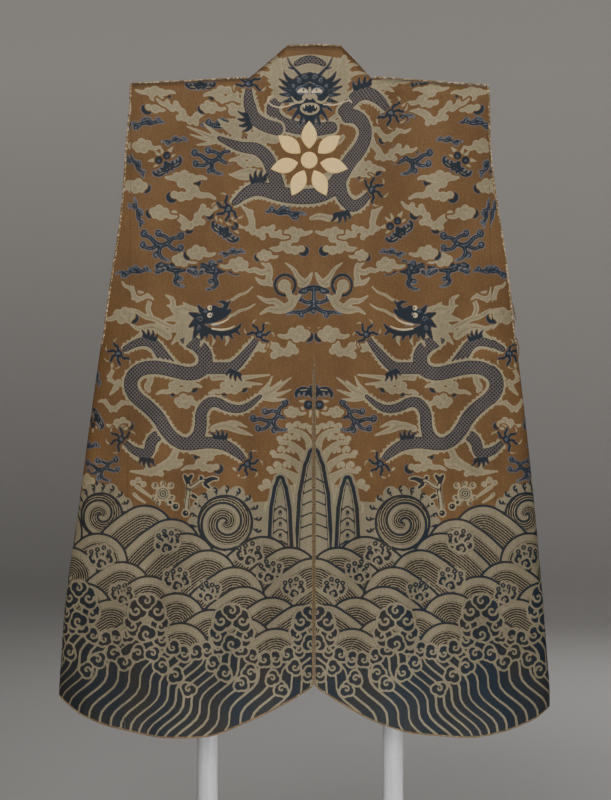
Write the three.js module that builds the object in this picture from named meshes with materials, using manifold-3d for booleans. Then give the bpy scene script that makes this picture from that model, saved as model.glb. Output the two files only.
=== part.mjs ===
// Sleeveless surcoat in figured silk, hung on a two-post display stand.
// Millimetres, +Z up. The back of the surcoat faces -Y and its open front faces +Y.
// The wearer's left is -X. Z = 0 is the underside of the stand's base plate.
import * as THREE from "three";
import { mergeVertices } from "three/addons/utils/BufferGeometryUtils.js";
import Module from "manifold-3d";

const wasm = await Module();
wasm.setup();

// ---- driving dimensions -------------------------------------------------------------
const wall = 2.4; // figured silk and its lining, sewn together
const seamGap = 0.3;
const cordRadius = 1.8; // gilt piping cord
const cordSides = 6;
const cordInset = cordRadius + seamGap; // from a cord's centre line to the cloth it edges
const corded = cordInset + cordRadius; // room that an edge's cord takes inside the outline
const centreX = 14; // centre-back seam
const hemLow = 240; // lowest point of the hem above the floor
const hemDepth = { back: 62, front: 56 }; // reach from the middle plane at the hem
const barTurn = 20; // outside radius of the cloth where it turns over the shoulder bar
const roundness = 2.6; // exponent of the flattened ring that the cloth hangs in
const flatFrom = 940; // from here up the ring opens into two flat layers at the bar
const flatTo = 1196;
const ventTop = 812;
const armholeBottom = 822;
const armholeSpread = 26; // how much further out the ring would close along the armhole
const bandWidth = 70; // collar band down each front edge
const frontGap = 11; // half of the gap between the two bands below the neck
const neckDrop = 1040; // where the bands have come together

// Side outline of the hanging cloth: height, and the reach to the wearer's left and right.
const outline = [
  { z: 1290, left: -261, right: 277 },
  { z: 1212, left: -262, right: 278 },
  { z: 1110, left: -269, right: 281 },
  { z: 1042, left: -274, right: 289 },
  { z: 975, left: -283, right: 300 },
  { z: 907, left: -294, right: 309 },
  { z: 840, left: -304, right: 317 },
  { z: 705, left: -323, right: 333 },
  { z: 570, left: -341, right: 347 },
  { z: 435, left: -360, right: 359 },
  { z: 367, left: -365, right: 364 },
  { z: 298, left: -368.5, right: 368.5 },
  { z: 200, left: -368.5, right: 368.5 },
];

// Top edge of the back from the left shoulder tip over the standing collar to the right
// one. depth is how far behind the middle plane it stands, turn how far below it the cloth
// is full, and upright is 1 where the cloth stands and 0 where it turns over the bar.
const topEdge = [
  { name: "left_tip", x: -261, z: 1217, depth: 0, turn: barTurn, upright: 0 },
  { name: "left_neck", x: -84, z: 1226, depth: 0, turn: barTurn, upright: 0 },
  { name: "left_collar", x: -28, z: 1272, depth: 13, turn: 44, upright: 1 },
  { name: "middle", x: centreX, z: 1273.5, depth: 16, turn: 46, upright: 1 },
  { name: "right_collar", x: 56, z: 1272, depth: 13, turn: 44, upright: 1 },
  { name: "right_neck", x: 102, z: 1227, depth: 0, turn: barTurn, upright: 0 },
  { name: "right_tip", x: 277, z: 1214, depth: 0, turn: barTurn, upright: 0 },
];

// Scalloped hem: rise above hemLow at each place across the back.
const hemLine = [
  { x: -369, rise: 60 },
  { x: -335, rise: 34 },
  { x: -281, rise: 14 },
  { x: -200, rise: 0 },
  { x: -150, rise: 2 },
  { x: -86, rise: 24 },
  { x: -30, rise: 51 },
  { x: 14, rise: 78 },
  { x: 62, rise: 48 },
  { x: 112, rise: 22 },
  { x: 166, rise: 6 },
  { x: 242, rise: 1 },
  { x: 294, rise: 8 },
  { x: 336, rise: 22 },
  { x: 369, rise: 42 },
];

// Side gores: where each one starts below the shoulder, and its seam's place at the hem.
const gores = {
  left: { top: 1168, foot: -267 },
  right: { top: 1112, foot: 290 },
};
const goreTopWidth = 1.8;

// Soft upright folds: place at the hem, half width, depth and the height where each has
// died out. A positive depth stands out.
const folds = {
  back: [
    { x: -312, width: 30, depth: 6, top: 760 },
    { x: -242, width: 36, depth: -6, top: 700 },
    { x: -128, width: 48, depth: 5, top: 640 },
    { x: 66, width: 32, depth: 5, top: 560 },
    { x: 184, width: 44, depth: -5, top: 660 },
    { x: 262, width: 34, depth: 7, top: 840 },
    { x: 322, width: 24, depth: -6, top: 740 },
  ],
  front: [
    { x: -292, width: 34, depth: 7, top: 760 },
    { x: -176, width: 42, depth: -5, top: 620 },
    { x: 166, width: 40, depth: 6, top: 680 },
    { x: 286, width: 32, depth: 7, top: 800 },
  ],
};

// Display stand
const posts = [
  { name: "post_left", x: -146 },
  { name: "post_right", x: 133 },
];
const postRadius = 15.5;
const barRadius = barTurn - wall - 0.55;
const barReach = { left: -250, right: 265 };
const base = { x: -6.5, width: 470, depth: 300, thick: 10, corner: 30, edge: 1.5 };

// Appliqued flower on the upper back
const flower = { x: 7, z: 1101, petals: 7, inner: 17, outer: 59, halfWidth: 11.5, disc: 12.5 };
const appliqueThick = 1.1;

// ---- shared shape functions ---------------------------------------------------------
const clamp01 = (v) => Math.min(1, Math.max(0, v));
const smooth = (v) => v * v * (3 - 2 * v);
const mix = (a, b, f) => a + (b - a) * f;
const signOf = (side) => (side === "left" ? -1 : 1);
const sideOf = (x) => (x < centreX ? "left" : "right");
const steps = (count) => Array.from({ length: count + 1 }, (_, i) => i / count);

// A column of a table along a smooth curve that doesn't overshoot its rows.
function curveValue(table, key, column, place) {
  const rows = table[0][key] < table[table.length - 1][key] ? table : [...table].reverse();
  const last = rows.length - 1;
  if (place <= rows[0][key]) return rows[0][column];
  if (place >= rows[last][key]) return rows[last][column];
  const slope = (k) => (rows[k + 1][column] - rows[k][column]) / (rows[k + 1][key] - rows[k][key]);
  const tangent = (k) => {
    if (k === 0) return slope(0);
    if (k === last) return slope(last - 1);
    const before = slope(k - 1);
    const after = slope(k);
    return before * after <= 0 ? 0 : (2 * before * after) / (before + after);
  };
  const i = rows.findIndex((row) => row[key] > place) - 1;
  const span = rows[i + 1][key] - rows[i][key];
  const f = (place - rows[i][key]) / span;
  const start = f * (1 - f) ** 2 * span * tangent(i);
  const end = f * f * (f - 1) * span * tangent(i + 1);
  return mix(rows[i][column], rows[i + 1][column], smooth(f)) + start + end;
}

// A column of a table along straight lines, for an edge with corners.
function lineValue(table, column, x) {
  const after = table.findIndex((row) => row.x >= x);
  if (after === 0) return table[0][column];
  if (after < 0) return table[table.length - 1][column];
  const [a, b] = [table[after - 1], table[after]];
  return mix(a[column], b[column], (x - a.x) / (b.x - a.x));
}

const topRow = (name) => topEdge.find((row) => row.name === name);
const reach = (side, z) => curveValue(outline, "z", side, z);
// The hem comes to a point at the centre, so each half has a curve of its own.
const halfHem = {
  left: hemLine.filter((row) => row.x <= centreX),
  right: hemLine.filter((row) => row.x >= centreX),
};
const hemHeight = (x) => hemLow + curveValue(halfHem[sideOf(x)], "x", "rise", x);

// How open the side is at a height: 0 up to the lowest point of the armhole, then up to 1.
const armholeOpen = (z) => smooth(clamp01((z - armholeBottom) / 130));
// Where the cloth's side edge runs: on the outline, or inside the armhole's cord.
const sideEdge = (side, z) => reach(side, z) - signOf(side) * (z > armholeBottom + 1 ? corded : 0);

// The straight seam between a panel and its gore. It runs out into the panel's side edge.
function goreSeam(side, z) {
  const { top, foot } = gores[side];
  const start = sideEdge(side, top) - signOf(side) * goreTopWidth;
  const seam = mix(foot, start, (z - hemLow) / (top - hemLow));
  return signOf(side) * Math.min(Math.abs(seam), Math.abs(sideEdge(side, z)));
}

// What the cloth of each face hangs from at a place across. The front has no standing
// collar, so its shoulder line runs on to the middle.
function topAt(face, x) {
  const columns = ["z", "depth", "turn", "upright"];
  if (face === "back")
    return Object.fromEntries(columns.map((c) => [c, lineValue(topEdge, c, x)]));
  const side = sideOf(x);
  const tip = topRow(side + "_tip");
  const neck = topRow(side + "_neck");
  const z = mix(neck.z, tip.z, clamp01((x - neck.x) / (tip.x - neck.x)));
  return { z, depth: 0, turn: barTurn, upright: 0 };
}

// Distance of the cloth's outer face from the middle plane.
function clothDepth(face, x, z) {
  const top = topAt(face, x);
  const below = clamp01((top.z - z) / top.turn);
  const round = Math.sqrt(1 - (1 - below) ** 2);
  const stand = Math.sin((Math.PI / 2) * below);
  const turned = mix(top.depth, barTurn, mix(round, stand, top.upright));
  const hang = clamp01((1206 - z) / (1206 - hemLow)) ** 1.15;
  let depth = turned + (hemDepth[face] - barTurn) * hang;
  for (const fold of folds[face]) {
    const fade = smooth(clamp01((fold.top - z) / (fold.top - hemLow)));
    depth += fold.depth * fade * Math.exp(-(((x - fold.x) / fold.width) ** 2));
  }
  const side = sideOf(x);
  const closing = reach(side, z) + signOf(side) * armholeSpread * armholeOpen(z);
  const across = clamp01((x - centreX) / (closing - centreX));
  const ring = (1 - across ** roundness) ** (1 / roundness);
  return depth * mix(ring, 1, smooth(clamp01((z - flatFrom) / (flatTo - flatFrom))));
}

const facing = { back: -1, front: 1 };
const outerY = (face, x, z) => facing[face] * Math.max(clothDepth(face, x, z), seamGap / 2);

// Unit vector from the outer face into the cloth.
function inward(face, x, z) {
  const d = 0.3;
  const acrossSlope = (outerY(face, x + d, z) - outerY(face, x - d, z)) / (2 * d);
  const downSlope = (outerY(face, x, z + d) - outerY(face, x, z - d)) / (2 * d);
  return new THREE.Vector3(acrossSlope, -1, downSlope).multiplyScalar(facing[face]).normalize();
}

// ---- solids ---------------------------------------------------------------------------
const point = (x, y, z) => new THREE.Vector3(x, y, z);

function closedGeometry(positions) {
  const loose = new THREE.BufferGeometry();
  loose.setAttribute("position", new THREE.Float32BufferAttribute(positions, 3));
  const geometry = mergeVertices(loose, 1e-4);
  return signedVolume(geometry) > 0 ? geometry : turnedOver(geometry);
}

// Volume of a closed mesh, negative when its faces point inwards.
function signedVolume(geometry) {
  const positions = geometry.getAttribute("position");
  const order = geometry.index;
  const corner = (i) => new THREE.Vector3().fromBufferAttribute(positions, order.getX(i));
  let total = 0;
  for (let i = 0; i < order.count; i += 3)
    total += corner(i).dot(corner(i + 1).cross(corner(i + 2))) / 6;
  return total;
}

function turnedOver(geometry) {
  const order = geometry.index.array;
  for (let i = 0; i < order.length; i += 3)
    [order[i + 1], order[i + 2]] = [order[i + 2], order[i + 1]];
  return geometry;
}

// A closed wall between two grids of points of the same size.
function wallSolid(outer, inner) {
  const lastRow = outer.length - 1;
  const lastColumn = outer[0].length - 1;
  const positions = [];
  const quad = (...corners) => {
    const [a, b, c, d] = corners;
    for (const p of [a, b, c, a, c, d]) positions.push(p.x, p.y, p.z);
  };
  for (let r = 0; r < lastRow; r++) {
    for (let c = 0; c < lastColumn; c++) {
      quad(outer[r][c], outer[r + 1][c], outer[r + 1][c + 1], outer[r][c + 1]);
      quad(inner[r][c], inner[r][c + 1], inner[r + 1][c + 1], inner[r + 1][c]);
    }
    quad(outer[r + 1][0], outer[r][0], inner[r][0], inner[r + 1][0]);
    quad(outer[r][lastColumn], outer[r + 1][lastColumn], inner[r + 1][lastColumn], inner[r][lastColumn]);
  }
  for (let c = 0; c < lastColumn; c++) {
    quad(outer[0][c], outer[0][c + 1], inner[0][c + 1], inner[0][c]);
    quad(outer[lastRow][c + 1], outer[lastRow][c], inner[lastRow][c], inner[lastRow][c + 1]);
  }
  return closedGeometry(positions);
}

// The inside of a cloth grid, kept on its own side of the middle plane.
function clothInside(face, outer) {
  return outer.map((row) =>
    row.map((p) => {
      const q = p.clone().addScaledVector(inward(face, p.x, p.z), wall);
      q.y = facing[face] * Math.max(facing[face] * q.y, seamGap / 2);
      return q;
    }),
  );
}

// A panel with its middle grid, which the cords beside its edges are placed from.
function clothPanel(name, face, outer, inner = clothInside(face, outer)) {
  const middle = outer.map((row, r) => row.map((p, c) => p.clone().lerp(inner[r][c], 0.5)));
  add(name, wallSolid(outer, inner), silk);
  return middle;
}

// A round cord with a section at each of its points.
function cordSolid(points) {
  const corner = (f) => {
    const angle = 2 * Math.PI * f;
    return new THREE.Vector2(cordRadius * Math.cos(angle), cordRadius * Math.sin(angle));
  };
  const section = new THREE.Shape(steps(cordSides).slice(0, -1).map(corner));
  const path = new THREE.CatmullRomCurve3(points, false, "centripetal");
  path.getPointAt = path.getPoint;
  path.getTangentAt = path.getTangent;
  return new THREE.ExtrudeGeometry(section, {
    steps: points.length - 1,
    bevelEnabled: false,
    extrudePath: path,
  });
}

// Cord points beside an edge: each edge point moved away from its neighbour in the cloth.
function besideEdge(edge, behind, distance = cordInset) {
  return edge.map((p, i) => {
    const along = edge[Math.min(i + 1, edge.length - 1)].clone().sub(edge[Math.max(i - 1, 0)]);
    along.normalize();
    const away = p.clone().sub(behind[i]);
    away.addScaledVector(along, -away.dot(along)).normalize();
    return p.clone().addScaledVector(away, distance);
  });
}

function toManifold(geometry) {
  const bare = geometry.clone();
  bare.deleteAttribute("normal");
  bare.deleteAttribute("uv");
  const merged = mergeVertices(bare, 1e-4);
  const vertProperties = new Float32Array(merged.attributes.position.array);
  const triVerts = new Uint32Array(merged.index.array);
  return new wasm.Manifold(new wasm.Mesh({ numProp: 3, vertProperties, triVerts }));
}

function fromManifold(solid) {
  const mesh = solid.getMesh();
  const geometry = new THREE.BufferGeometry();
  geometry.setAttribute("position", new THREE.BufferAttribute(mesh.vertProperties, 3));
  geometry.setIndex(new THREE.BufferAttribute(mesh.triVerts, 1));
  return geometry;
}

// ---- scene graph ------------------------------------------------------------------------
const group = new THREE.Group();
const material = (color, roughness, metalness = 0) =>
  new THREE.MeshStandardMaterial({ color, roughness, metalness });
const silk = material(0x8a5a2b, 0.7);
const gilt = material(0xb98a3a, 0.45, 0.3);
const cream = material(0xd8bf8f, 0.75);
const satin = material(0xcfcbd2, 0.5);
const plate = material(0xbdbac0, 0.55, 0.2);

function add(name, geometry, finish) {
  const mesh = new THREE.Mesh(geometry, finish.clone());
  mesh.name = name;
  group.add(mesh);
}

// ---- back and front panels ----------------------------------------------------------------
// Rows of a panel: turnRows are shares of the turn over the bar and hangRows of the drop.
const turnRows = [0, 0.16, 0.34, 0.52, 0.7, 0.86, 1];
const hangRows = [0.03, 0.08, 0.15, 0.23, 0.31, 0.39, 0.459, 0.492, 0.56, 0.64, 0.72, 0.8, 0.87, 0.94, 1];

// The height of each row of a column that has its top at topZ and its hem at bottomZ.
function columnHeights(top, bottomZ) {
  const full = top.z - top.turn;
  const turning = turnRows.map((f) => top.z - top.turn * mix(1 - Math.cos((Math.PI / 2) * f), f, top.upright));
  return [...turning, ...hangRows.map((f) => mix(full, bottomZ, f))];
}

// A grid from columns, each with its share of the way from one edge to the other.
function panelGrid(face, shares, from, to) {
  const columns = shares.map((share) => {
    const xAt = (z) => mix(from(z), to(z), share);
    const top = topAt(face, xAt(1220));
    const heights = columnHeights(top, hemHeight(xAt(hemLow)) + corded);
    return heights.map((z) => point(xAt(z), outerY(face, xAt(z), z), z));
  });
  return columns[0].map((_, r) => columns.map((column) => column[r]));
}

// The centre edge: a plain seam down to the vent, then room for its cord.
function centreEdge(side, z) {
  const parted = smooth(clamp01((ventTop - z) / 30)) * corded;
  return centreX + signOf(side) * (seamGap / 2 + parted);
}

// Columns of a back panel pass through the corners of the collar.
function backShares(side) {
  const width = goreSeam(side, 1220) - centreX;
  const collar = (topRow(side + "_collar").x - centreX) / width;
  const neck = (topRow(side + "_neck").x - centreX) / width;
  const rest = [0.15, 0.3, 0.46, 0.62, 0.78, 0.9, 1].map((f) => mix(neck, 1, f));
  return [0, collar / 2, collar, mix(collar, neck, 0.5), neck, ...rest];
}

// Inner and outer edges of the collar band on the front.
function bandEdge(side, edge, z) {
  const start = topRow(side + (edge === "inner" ? "_collar" : "_neck"));
  const low = centreX + signOf(side) * (frontGap + (edge === "inner" ? 0 : bandWidth));
  const drop = clamp01((z - neckDrop) / (topRow(side + "_neck").z - neckDrop));
  return mix(low, start.x, drop ** 1.3);
}

const goreShares = [0, 0.3, 0.56, 0.76, 0.9, 0.97, 1];
const goreArmholeRows = [0.2, 0.42, 0.64, 0.82, 0.93, 0.975];

function goreGrid(face, side) {
  const gap = signOf(side) * seamGap;
  const columns = goreShares.map((share) => {
    const xAt = (z) => mix(goreSeam(side, z) + gap, sideEdge(side, z), share);
    const { top } = gores[side];
    const bottom = hemHeight(xAt(hemLow)) + corded;
    const heights = [top, ...goreArmholeRows.map((f) => mix(top, armholeBottom, f)), armholeBottom];
    for (const f of steps(9).slice(1)) heights.push(mix(armholeBottom, bottom, f));
    return heights.map((z) => point(xAt(z), outerY(face, xAt(z), z), z));
  });
  return columns[0].map((_, r) => columns.map((column) => column[r]));
}

// The band starts behind the fold of the standing collar, turns over the bar and hangs.
const bandShares = steps(3);
const bandTurnRows = steps(5);
const bandFrontZ = 1228; // where the band's inner edge has reached the front

function bandPanel(side) {
  const sign = signOf(side);
  const collar = topRow(side + "_collar");
  const neck = topRow(side + "_neck");
  const rows = [];
  const insides = [];
  for (const f of bandTurnRows) {
    const angle = (Math.PI / 2) * f;
    rows.push(
      bandShares.map((share) => {
        const foldX = mix(collar.x, neck.x - sign * 2 * seamGap, share);
        const foldZ = mix(collar.z, neck.z, share);
        const behind = outerY("back", foldX, foldZ) + wall * Math.max(0, inward("back", foldX, foldZ).y);
        const startY = mix(behind, -seamGap / 2, share ** 4) + 2 * seamGap;
        const frontZ = mix(bandFrontZ, topAt("front", neck.x).z - barTurn, share);
        const z = mix(frontZ, foldZ, Math.cos(angle) ** mix(1.5, 1, share));
        const outerX = bandEdge(side, "outer", z) - sign * 2 * seamGap;
        const hangingX = mix(bandEdge(side, "inner", z) + sign * corded, outerX, share);
        const x = mix(foldX, hangingX, f);
        return point(x, mix(startY, barTurn, Math.sin(angle)), z);
      }),
    );
  }
  for (const f of hangRows) {
    rows.push(
      bandShares.map((share) => {
        const startZ = mix(bandFrontZ, topAt("front", neck.x).z - barTurn, share);
        const hemX = centreX + sign * mix(frontGap + corded, frontGap + bandWidth, share);
        const z = mix(startZ, hemHeight(hemX) + corded, f);
        const from = bandEdge(side, "inner", z) + sign * corded;
        const to = bandEdge(side, "outer", z) - sign * seamGap;
        const x = mix(from, to, share);
        return point(x, Math.max(outerY("front", x, z), barTurn), z);
      }),
    );
  }
  // Its inside faces the neck along the turn, and the middle plane where it hangs.
  rows.forEach((row, r) => {
    insides.push(
      row.map((p, c) => {
        const above = rows[Math.max(r - 1, 0)][c];
        const below = rows[Math.min(r + 1, rows.length - 1)][c];
        const before = row[Math.max(c - 1, 0)];
        const after = row[Math.min(c + 1, row.length - 1)];
        const into = after.clone().sub(before).cross(below.clone().sub(above)).normalize();
        if (into.y + into.z > 0) into.negate();
        if (r === 0) into.set(0, 0, -1);
        if (r >= bandTurnRows.length) into.copy(inward("front", p.x, p.z));
        return p.clone().addScaledVector(into, wall);
      }),
    );
  });
  return clothPanel("collar_band_" + side, "front", rows, insides);
}

const parts = {};
for (const side of ["left", "right"]) {
  const backGrid = panelGrid("back", backShares(side), (z) => centreEdge(side, z), (z) => goreSeam(side, z));
  parts["back_" + side] = clothPanel("back_" + side, "back", backGrid);
  const frontShares = [0, 0.14, 0.28, 0.42, 0.56, 0.7, 0.82, 0.92, 1];
  const frontGrid = panelGrid("front", frontShares, (z) => bandEdge(side, "outer", z), (z) => goreSeam(side, z));
  parts["front_" + side] = clothPanel("front_" + side, "front", frontGrid);
  for (const face of ["back", "front"]) {
    const name = "gore_" + face + "_" + side;
    parts[name] = clothPanel(name, face, goreGrid(face, side));
  }
  parts["band_" + side] = bandPanel(side);
}

// ---- piping cords -------------------------------------------------------------------------
const lastOf = (list) => list[list.length - 1];
const column = (grid, c) => grid.map((row) => row.at(c));
const cordBeside = (grid, c, next) => besideEdge(column(grid, c), column(grid, next));
const cordBelow = (grid) => besideEdge(lastOf(grid), grid.at(-2));

// The corner between two runs of a cord, beyond the cloth's own corner.
function cordCorner(grid, c, next) {
  const corner = lastOf(grid).at(c);
  const up = corner.clone().sub(grid.at(-2).at(c)).normalize();
  const out = corner.clone().sub(lastOf(grid).at(next)).normalize();
  return corner.clone().addScaledVector(up.add(out).normalize(), cordInset * 1.35);
}

for (const side of ["left", "right"]) {
  const sign = signOf(side);
  const back = parts["back_" + side];
  const front = parts["front_" + side];
  const goreBack = parts["gore_back_" + side];
  const goreFront = parts["gore_front_" + side];
  const band = parts["band_" + side];

  // From the top of the vent down to the hem, round the side and up the front edge.
  const vent = cordBeside(back, 0, 1).filter((p) => p.z < ventTop - 29).slice(0, -1);
  const backHem = cordBelow(back).slice(1, -1);
  const sideBack = cordBelow(goreBack).slice(0, -1);
  const sideCorner = lastOf(lastOf(goreBack)).clone();
  sideCorner.set(sideCorner.x - sign * 0.6, 0, sideCorner.z - cordInset);
  const sideFront = cordBelow(goreFront).slice(0, -1).reverse();
  const frontHem = cordBelow(front).slice(1, -1).reverse();
  const bandHem = cordBelow(band).slice(1).reverse();
  const frontEdge = cordBeside(band, 0, 1).slice(1, -1).reverse();
  const hemCord = [
    ...[...vent, cordCorner(back, 0, 1), ...backHem, ...sideBack, sideCorner],
    ...[...sideFront, ...frontHem, ...bandHem, cordCorner(band, 0, 1), ...frontEdge],
  ];
  add("hem_cord_" + side, cordSolid(hemCord), gilt);

  // Down the back edge of the armhole, across its lowest point and up the front edge.
  const armhole = ["back", "front"].map((face) => {
    const panel = cordBeside(parts[face + "_" + side], -1, -2).slice(2);
    const gore = cordBeside(parts["gore_" + face + "_" + side], -1, -2);
    const above = panel.filter((p) => p.z > gores[side].top + 12);
    return [...above, ...gore.filter((p) => p.z > armholeBottom + 4)];
  });
  const lowest = point(reach(side, armholeBottom) + sign * 0.6, 0, armholeBottom + 3.2);
  add("armhole_cord_" + side, cordSolid([...armhole[0], lowest, ...armhole[1].reverse()]), gilt);

  // Along the shoulder seam, over the two edges that meet there.
  const shoulder = back[0].slice(4).map((p) => point(p.x, 0, topAt("back", p.x).z + cordInset));
  shoulder[0].x += sign * cordRadius;
  add("shoulder_cord_" + side, cordSolid(shoulder), gilt);
}

const collarTop = [...[...parts.back_left[0].slice(0, 3)].reverse(), ...parts.back_right[0].slice(0, 3)];
const collarLine = collarTop.map((p) => point(p.x, p.y, topAt("back", p.x).z + cordInset));
add("collar_cord", cordSolid(collarLine), gilt);

// ---- appliqued flower -----------------------------------------------------------------------
// A thin leaf of cloth on the back, along an axis from its middle, with a half width at each
// share of its length.
function leafSolid(angle, from, to, halfWidthAt) {
  const outer = [];
  const inner = [];
  for (const f of steps(8)) {
    const along = mix(from, to, (1 - Math.cos(Math.PI * f)) / 2);
    const half = Math.max(halfWidthAt((along - from) / (to - from)), 0.5);
    const row = steps(3).map((g) => {
      const across = mix(-half, half, g);
      const x = flower.x + along * Math.cos(angle) - across * Math.sin(angle);
      const z = flower.z + along * Math.sin(angle) + across * Math.cos(angle);
      return { at: point(x, outerY("back", x, z), z), out: inward("back", x, z).negate() };
    });
    outer.push(row.map((p) => p.at.clone().addScaledVector(p.out, seamGap + appliqueThick)));
    inner.push(row.map((p) => p.at.clone().addScaledVector(p.out, seamGap)));
  }
  return wallSolid(outer, inner);
}

for (let k = 0; k < flower.petals; k++) {
  const angle = Math.PI / 2 + (2 * Math.PI * k) / flower.petals;
  const lancet = (f) => flower.halfWidth * Math.sin(Math.PI * f ** 0.9) ** 0.9;
  add("petal_" + (k + 1), leafSolid(angle, flower.inner, flower.outer, lancet), cream);
}
const round = (f) => flower.disc * Math.sqrt(Math.max(0, 1 - (2 * f - 1) ** 2));
add("flower_disc", leafSolid(0, -flower.disc, flower.disc, round), cream);

// ---- display stand ------------------------------------------------------------------------------
// The bar lies under the shoulder seams, with a slight fall to each tip.
const barZ = (name) => topRow(name).z - barTurn;
const fall = (side) => {
  const f = (barReach[side] - topRow(side + "_neck").x) / (topRow(side + "_tip").x - topRow(side + "_neck").x);
  return mix(barZ(side + "_neck"), barZ(side + "_tip"), f);
};
const barPath = [
  point(barReach.left, 0, fall("left")),
  point(topRow("left_neck").x, 0, barZ("left_neck")),
  point(topRow("right_neck").x, 0, barZ("right_neck")),
  point(barReach.right, 0, fall("right")),
];
const ring = (radius, count) =>
  new THREE.Shape(
    steps(count)
      .slice(0, -1)
      .map((f) => new THREE.Vector2(radius * Math.cos(2 * Math.PI * f), radius * Math.sin(2 * Math.PI * f))),
  );

function barSolid(radius) {
  const path = new THREE.CatmullRomCurve3(barPath, false, "catmullrom", 0);
  return new THREE.ExtrudeGeometry(ring(radius, 20), { steps: 14, bevelEnabled: false, extrudePath: path });
}
add("shoulder_bar", barSolid(barRadius), satin);

const saddle = toManifold(barSolid(barRadius + seamGap));
for (const post of posts) {
  const height = 1206 - base.thick;
  const shaft = new THREE.CylinderGeometry(postRadius, postRadius, height, 24);
  shaft.rotateX(Math.PI / 2);
  shaft.translate(post.x, 0, base.thick + height / 2);
  add(post.name, fromManifold(toManifold(shaft).subtract(saddle)), satin);
}

const plateShape = new THREE.Shape();
const half = { x: base.width / 2 - base.edge, y: base.depth / 2 - base.edge };
const corners = [
  { x: half.x, y: -half.y, start: -0.5 },
  { x: half.x, y: half.y, start: 0 },
  { x: -half.x, y: half.y, start: 0.5 },
  { x: -half.x, y: -half.y, start: 1 },
];
corners.forEach(({ x, y, start }, i) => {
  const cx = x - Math.sign(x) * base.corner;
  const cy = y - Math.sign(y) * base.corner;
  if (i === 0) plateShape.moveTo(cx, y);
  plateShape.absarc(cx, cy, base.corner, start * Math.PI, (start + 0.5) * Math.PI, false);
});
plateShape.closePath();
const plateSolid = new THREE.ExtrudeGeometry(plateShape, {
  depth: base.thick - 2 * base.edge,
  curveSegments: 5,
  bevelThickness: base.edge,
  bevelSize: base.edge,
  bevelSegments: 1,
});
plateSolid.translate(base.x, 0, base.edge);
add("stand_base", plateSolid, plate);

export default group;
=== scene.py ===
import math

import bmesh
import bpy
import numpy as np
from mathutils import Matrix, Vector


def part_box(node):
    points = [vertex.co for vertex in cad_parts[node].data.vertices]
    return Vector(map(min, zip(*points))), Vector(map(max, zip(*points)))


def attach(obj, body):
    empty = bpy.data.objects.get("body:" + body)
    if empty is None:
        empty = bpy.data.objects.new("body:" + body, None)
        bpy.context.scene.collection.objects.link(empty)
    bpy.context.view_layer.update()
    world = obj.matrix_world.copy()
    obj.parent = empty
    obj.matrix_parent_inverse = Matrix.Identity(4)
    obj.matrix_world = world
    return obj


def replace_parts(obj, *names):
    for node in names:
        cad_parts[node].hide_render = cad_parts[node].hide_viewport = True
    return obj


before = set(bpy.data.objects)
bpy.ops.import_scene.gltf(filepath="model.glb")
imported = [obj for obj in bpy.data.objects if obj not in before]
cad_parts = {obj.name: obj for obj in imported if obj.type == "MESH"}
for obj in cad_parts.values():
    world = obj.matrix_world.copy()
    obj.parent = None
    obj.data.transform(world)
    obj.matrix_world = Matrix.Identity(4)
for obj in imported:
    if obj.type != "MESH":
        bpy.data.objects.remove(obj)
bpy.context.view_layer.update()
print("frame loaded")

mm = 0.001

# The way the silk hangs, in millimetres: the same sizes as its solids.
drape = {
    "centreX": 14.0,  # of the centre seam
    "hemLow": 240.0,
    "hemDepth": {"back": 62.0, "front": 56.0},
    "barTurn": 20.0,  # radius of the cloth's turn over the bar
    "hangFrom": 1206.0,
    "hangBend": 1.15,
    "roundness": 2.6,  # of the body in plan
    "flatFrom": 940.0,  # from here up to flatTo the cloth flattens towards the bar
    "flatTo": 1196.0,
    "ventTop": 812.0,
    "armholeBottom": 822.0,
    "armholeSpread": 26.0,
    "spreadHeight": 130.0,
    "bandWidth": 70.0,
    "frontGap": 11.0,
    "neckDrop": 1040.0,
    "bandFrontZ": 1228.0,
    "seamGap": 0.3,
    "sewnGap": 0.04,  # at the centre seam
    "seamTop": 1220.0,
    "goreInset": 1.8,
    "wall": 2.4,
    "corded": 2.8,  # from the outline to a cloth edge that is tucked under its cord
    "cordInset": 1.0,  # from that edge to the cord's centre line
}
# height, reach to the left, reach to the right
outline = np.array([
    (200, -368.5, 368.5), (298, -368.5, 368.5), (367, -365, 364), (435, -360, 359),
    (570, -341, 347), (705, -323, 333), (840, -304, 317), (907, -294, 309),
    (975, -283, 300), (1042, -274, 289), (1110, -269, 281), (1212, -262, 278), (1290, -261, 277),
], float)
# place across, height, depth behind the middle plane, turn, upright
topEdge = np.array([
    (-261, 1217, 0, 20, 0), (-84, 1226, 0, 20, 0), (-28, 1272, 13, 44, 1), (14, 1273.5, 16, 46, 1),
    (56, 1272, 13, 44, 1), (102, 1227, 0, 20, 0), (277, 1214, 0, 20, 0),
], float)
hemLine = np.array([
    (-369, 60), (-335, 34), (-281, 14), (-200, 0), (-150, 2), (-86, 24), (-30, 51), (14, 78),
    (62, 48), (112, 22), (166, 6), (242, 1), (294, 8), (336, 22), (369, 42),
], float)
gores = {"left": {"top": 1168.0, "foot": -267.0}, "right": {"top": 1112.0, "foot": 290.0}}
# place across, half width, depth, height where each fold has died out
folds = {
    "back": [(-312, 30, 6, 760), (-242, 36, -6, 700), (-128, 48, 5, 640), (66, 32, 5, 560),
             (184, 44, -5, 660), (262, 34, 7, 840), (322, 24, -6, 740)],
    "front": [(-292, 34, 7, 760), (-176, 42, -5, 620), (166, 40, 6, 680), (286, 32, 7, 800)],
}


def smoothStep(v):
    v = np.clip(v, 0.0, 1.0)
    return v * v * (3 - 2 * v)


def mix(a, b, f):
    return a + (b - a) * f


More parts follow.
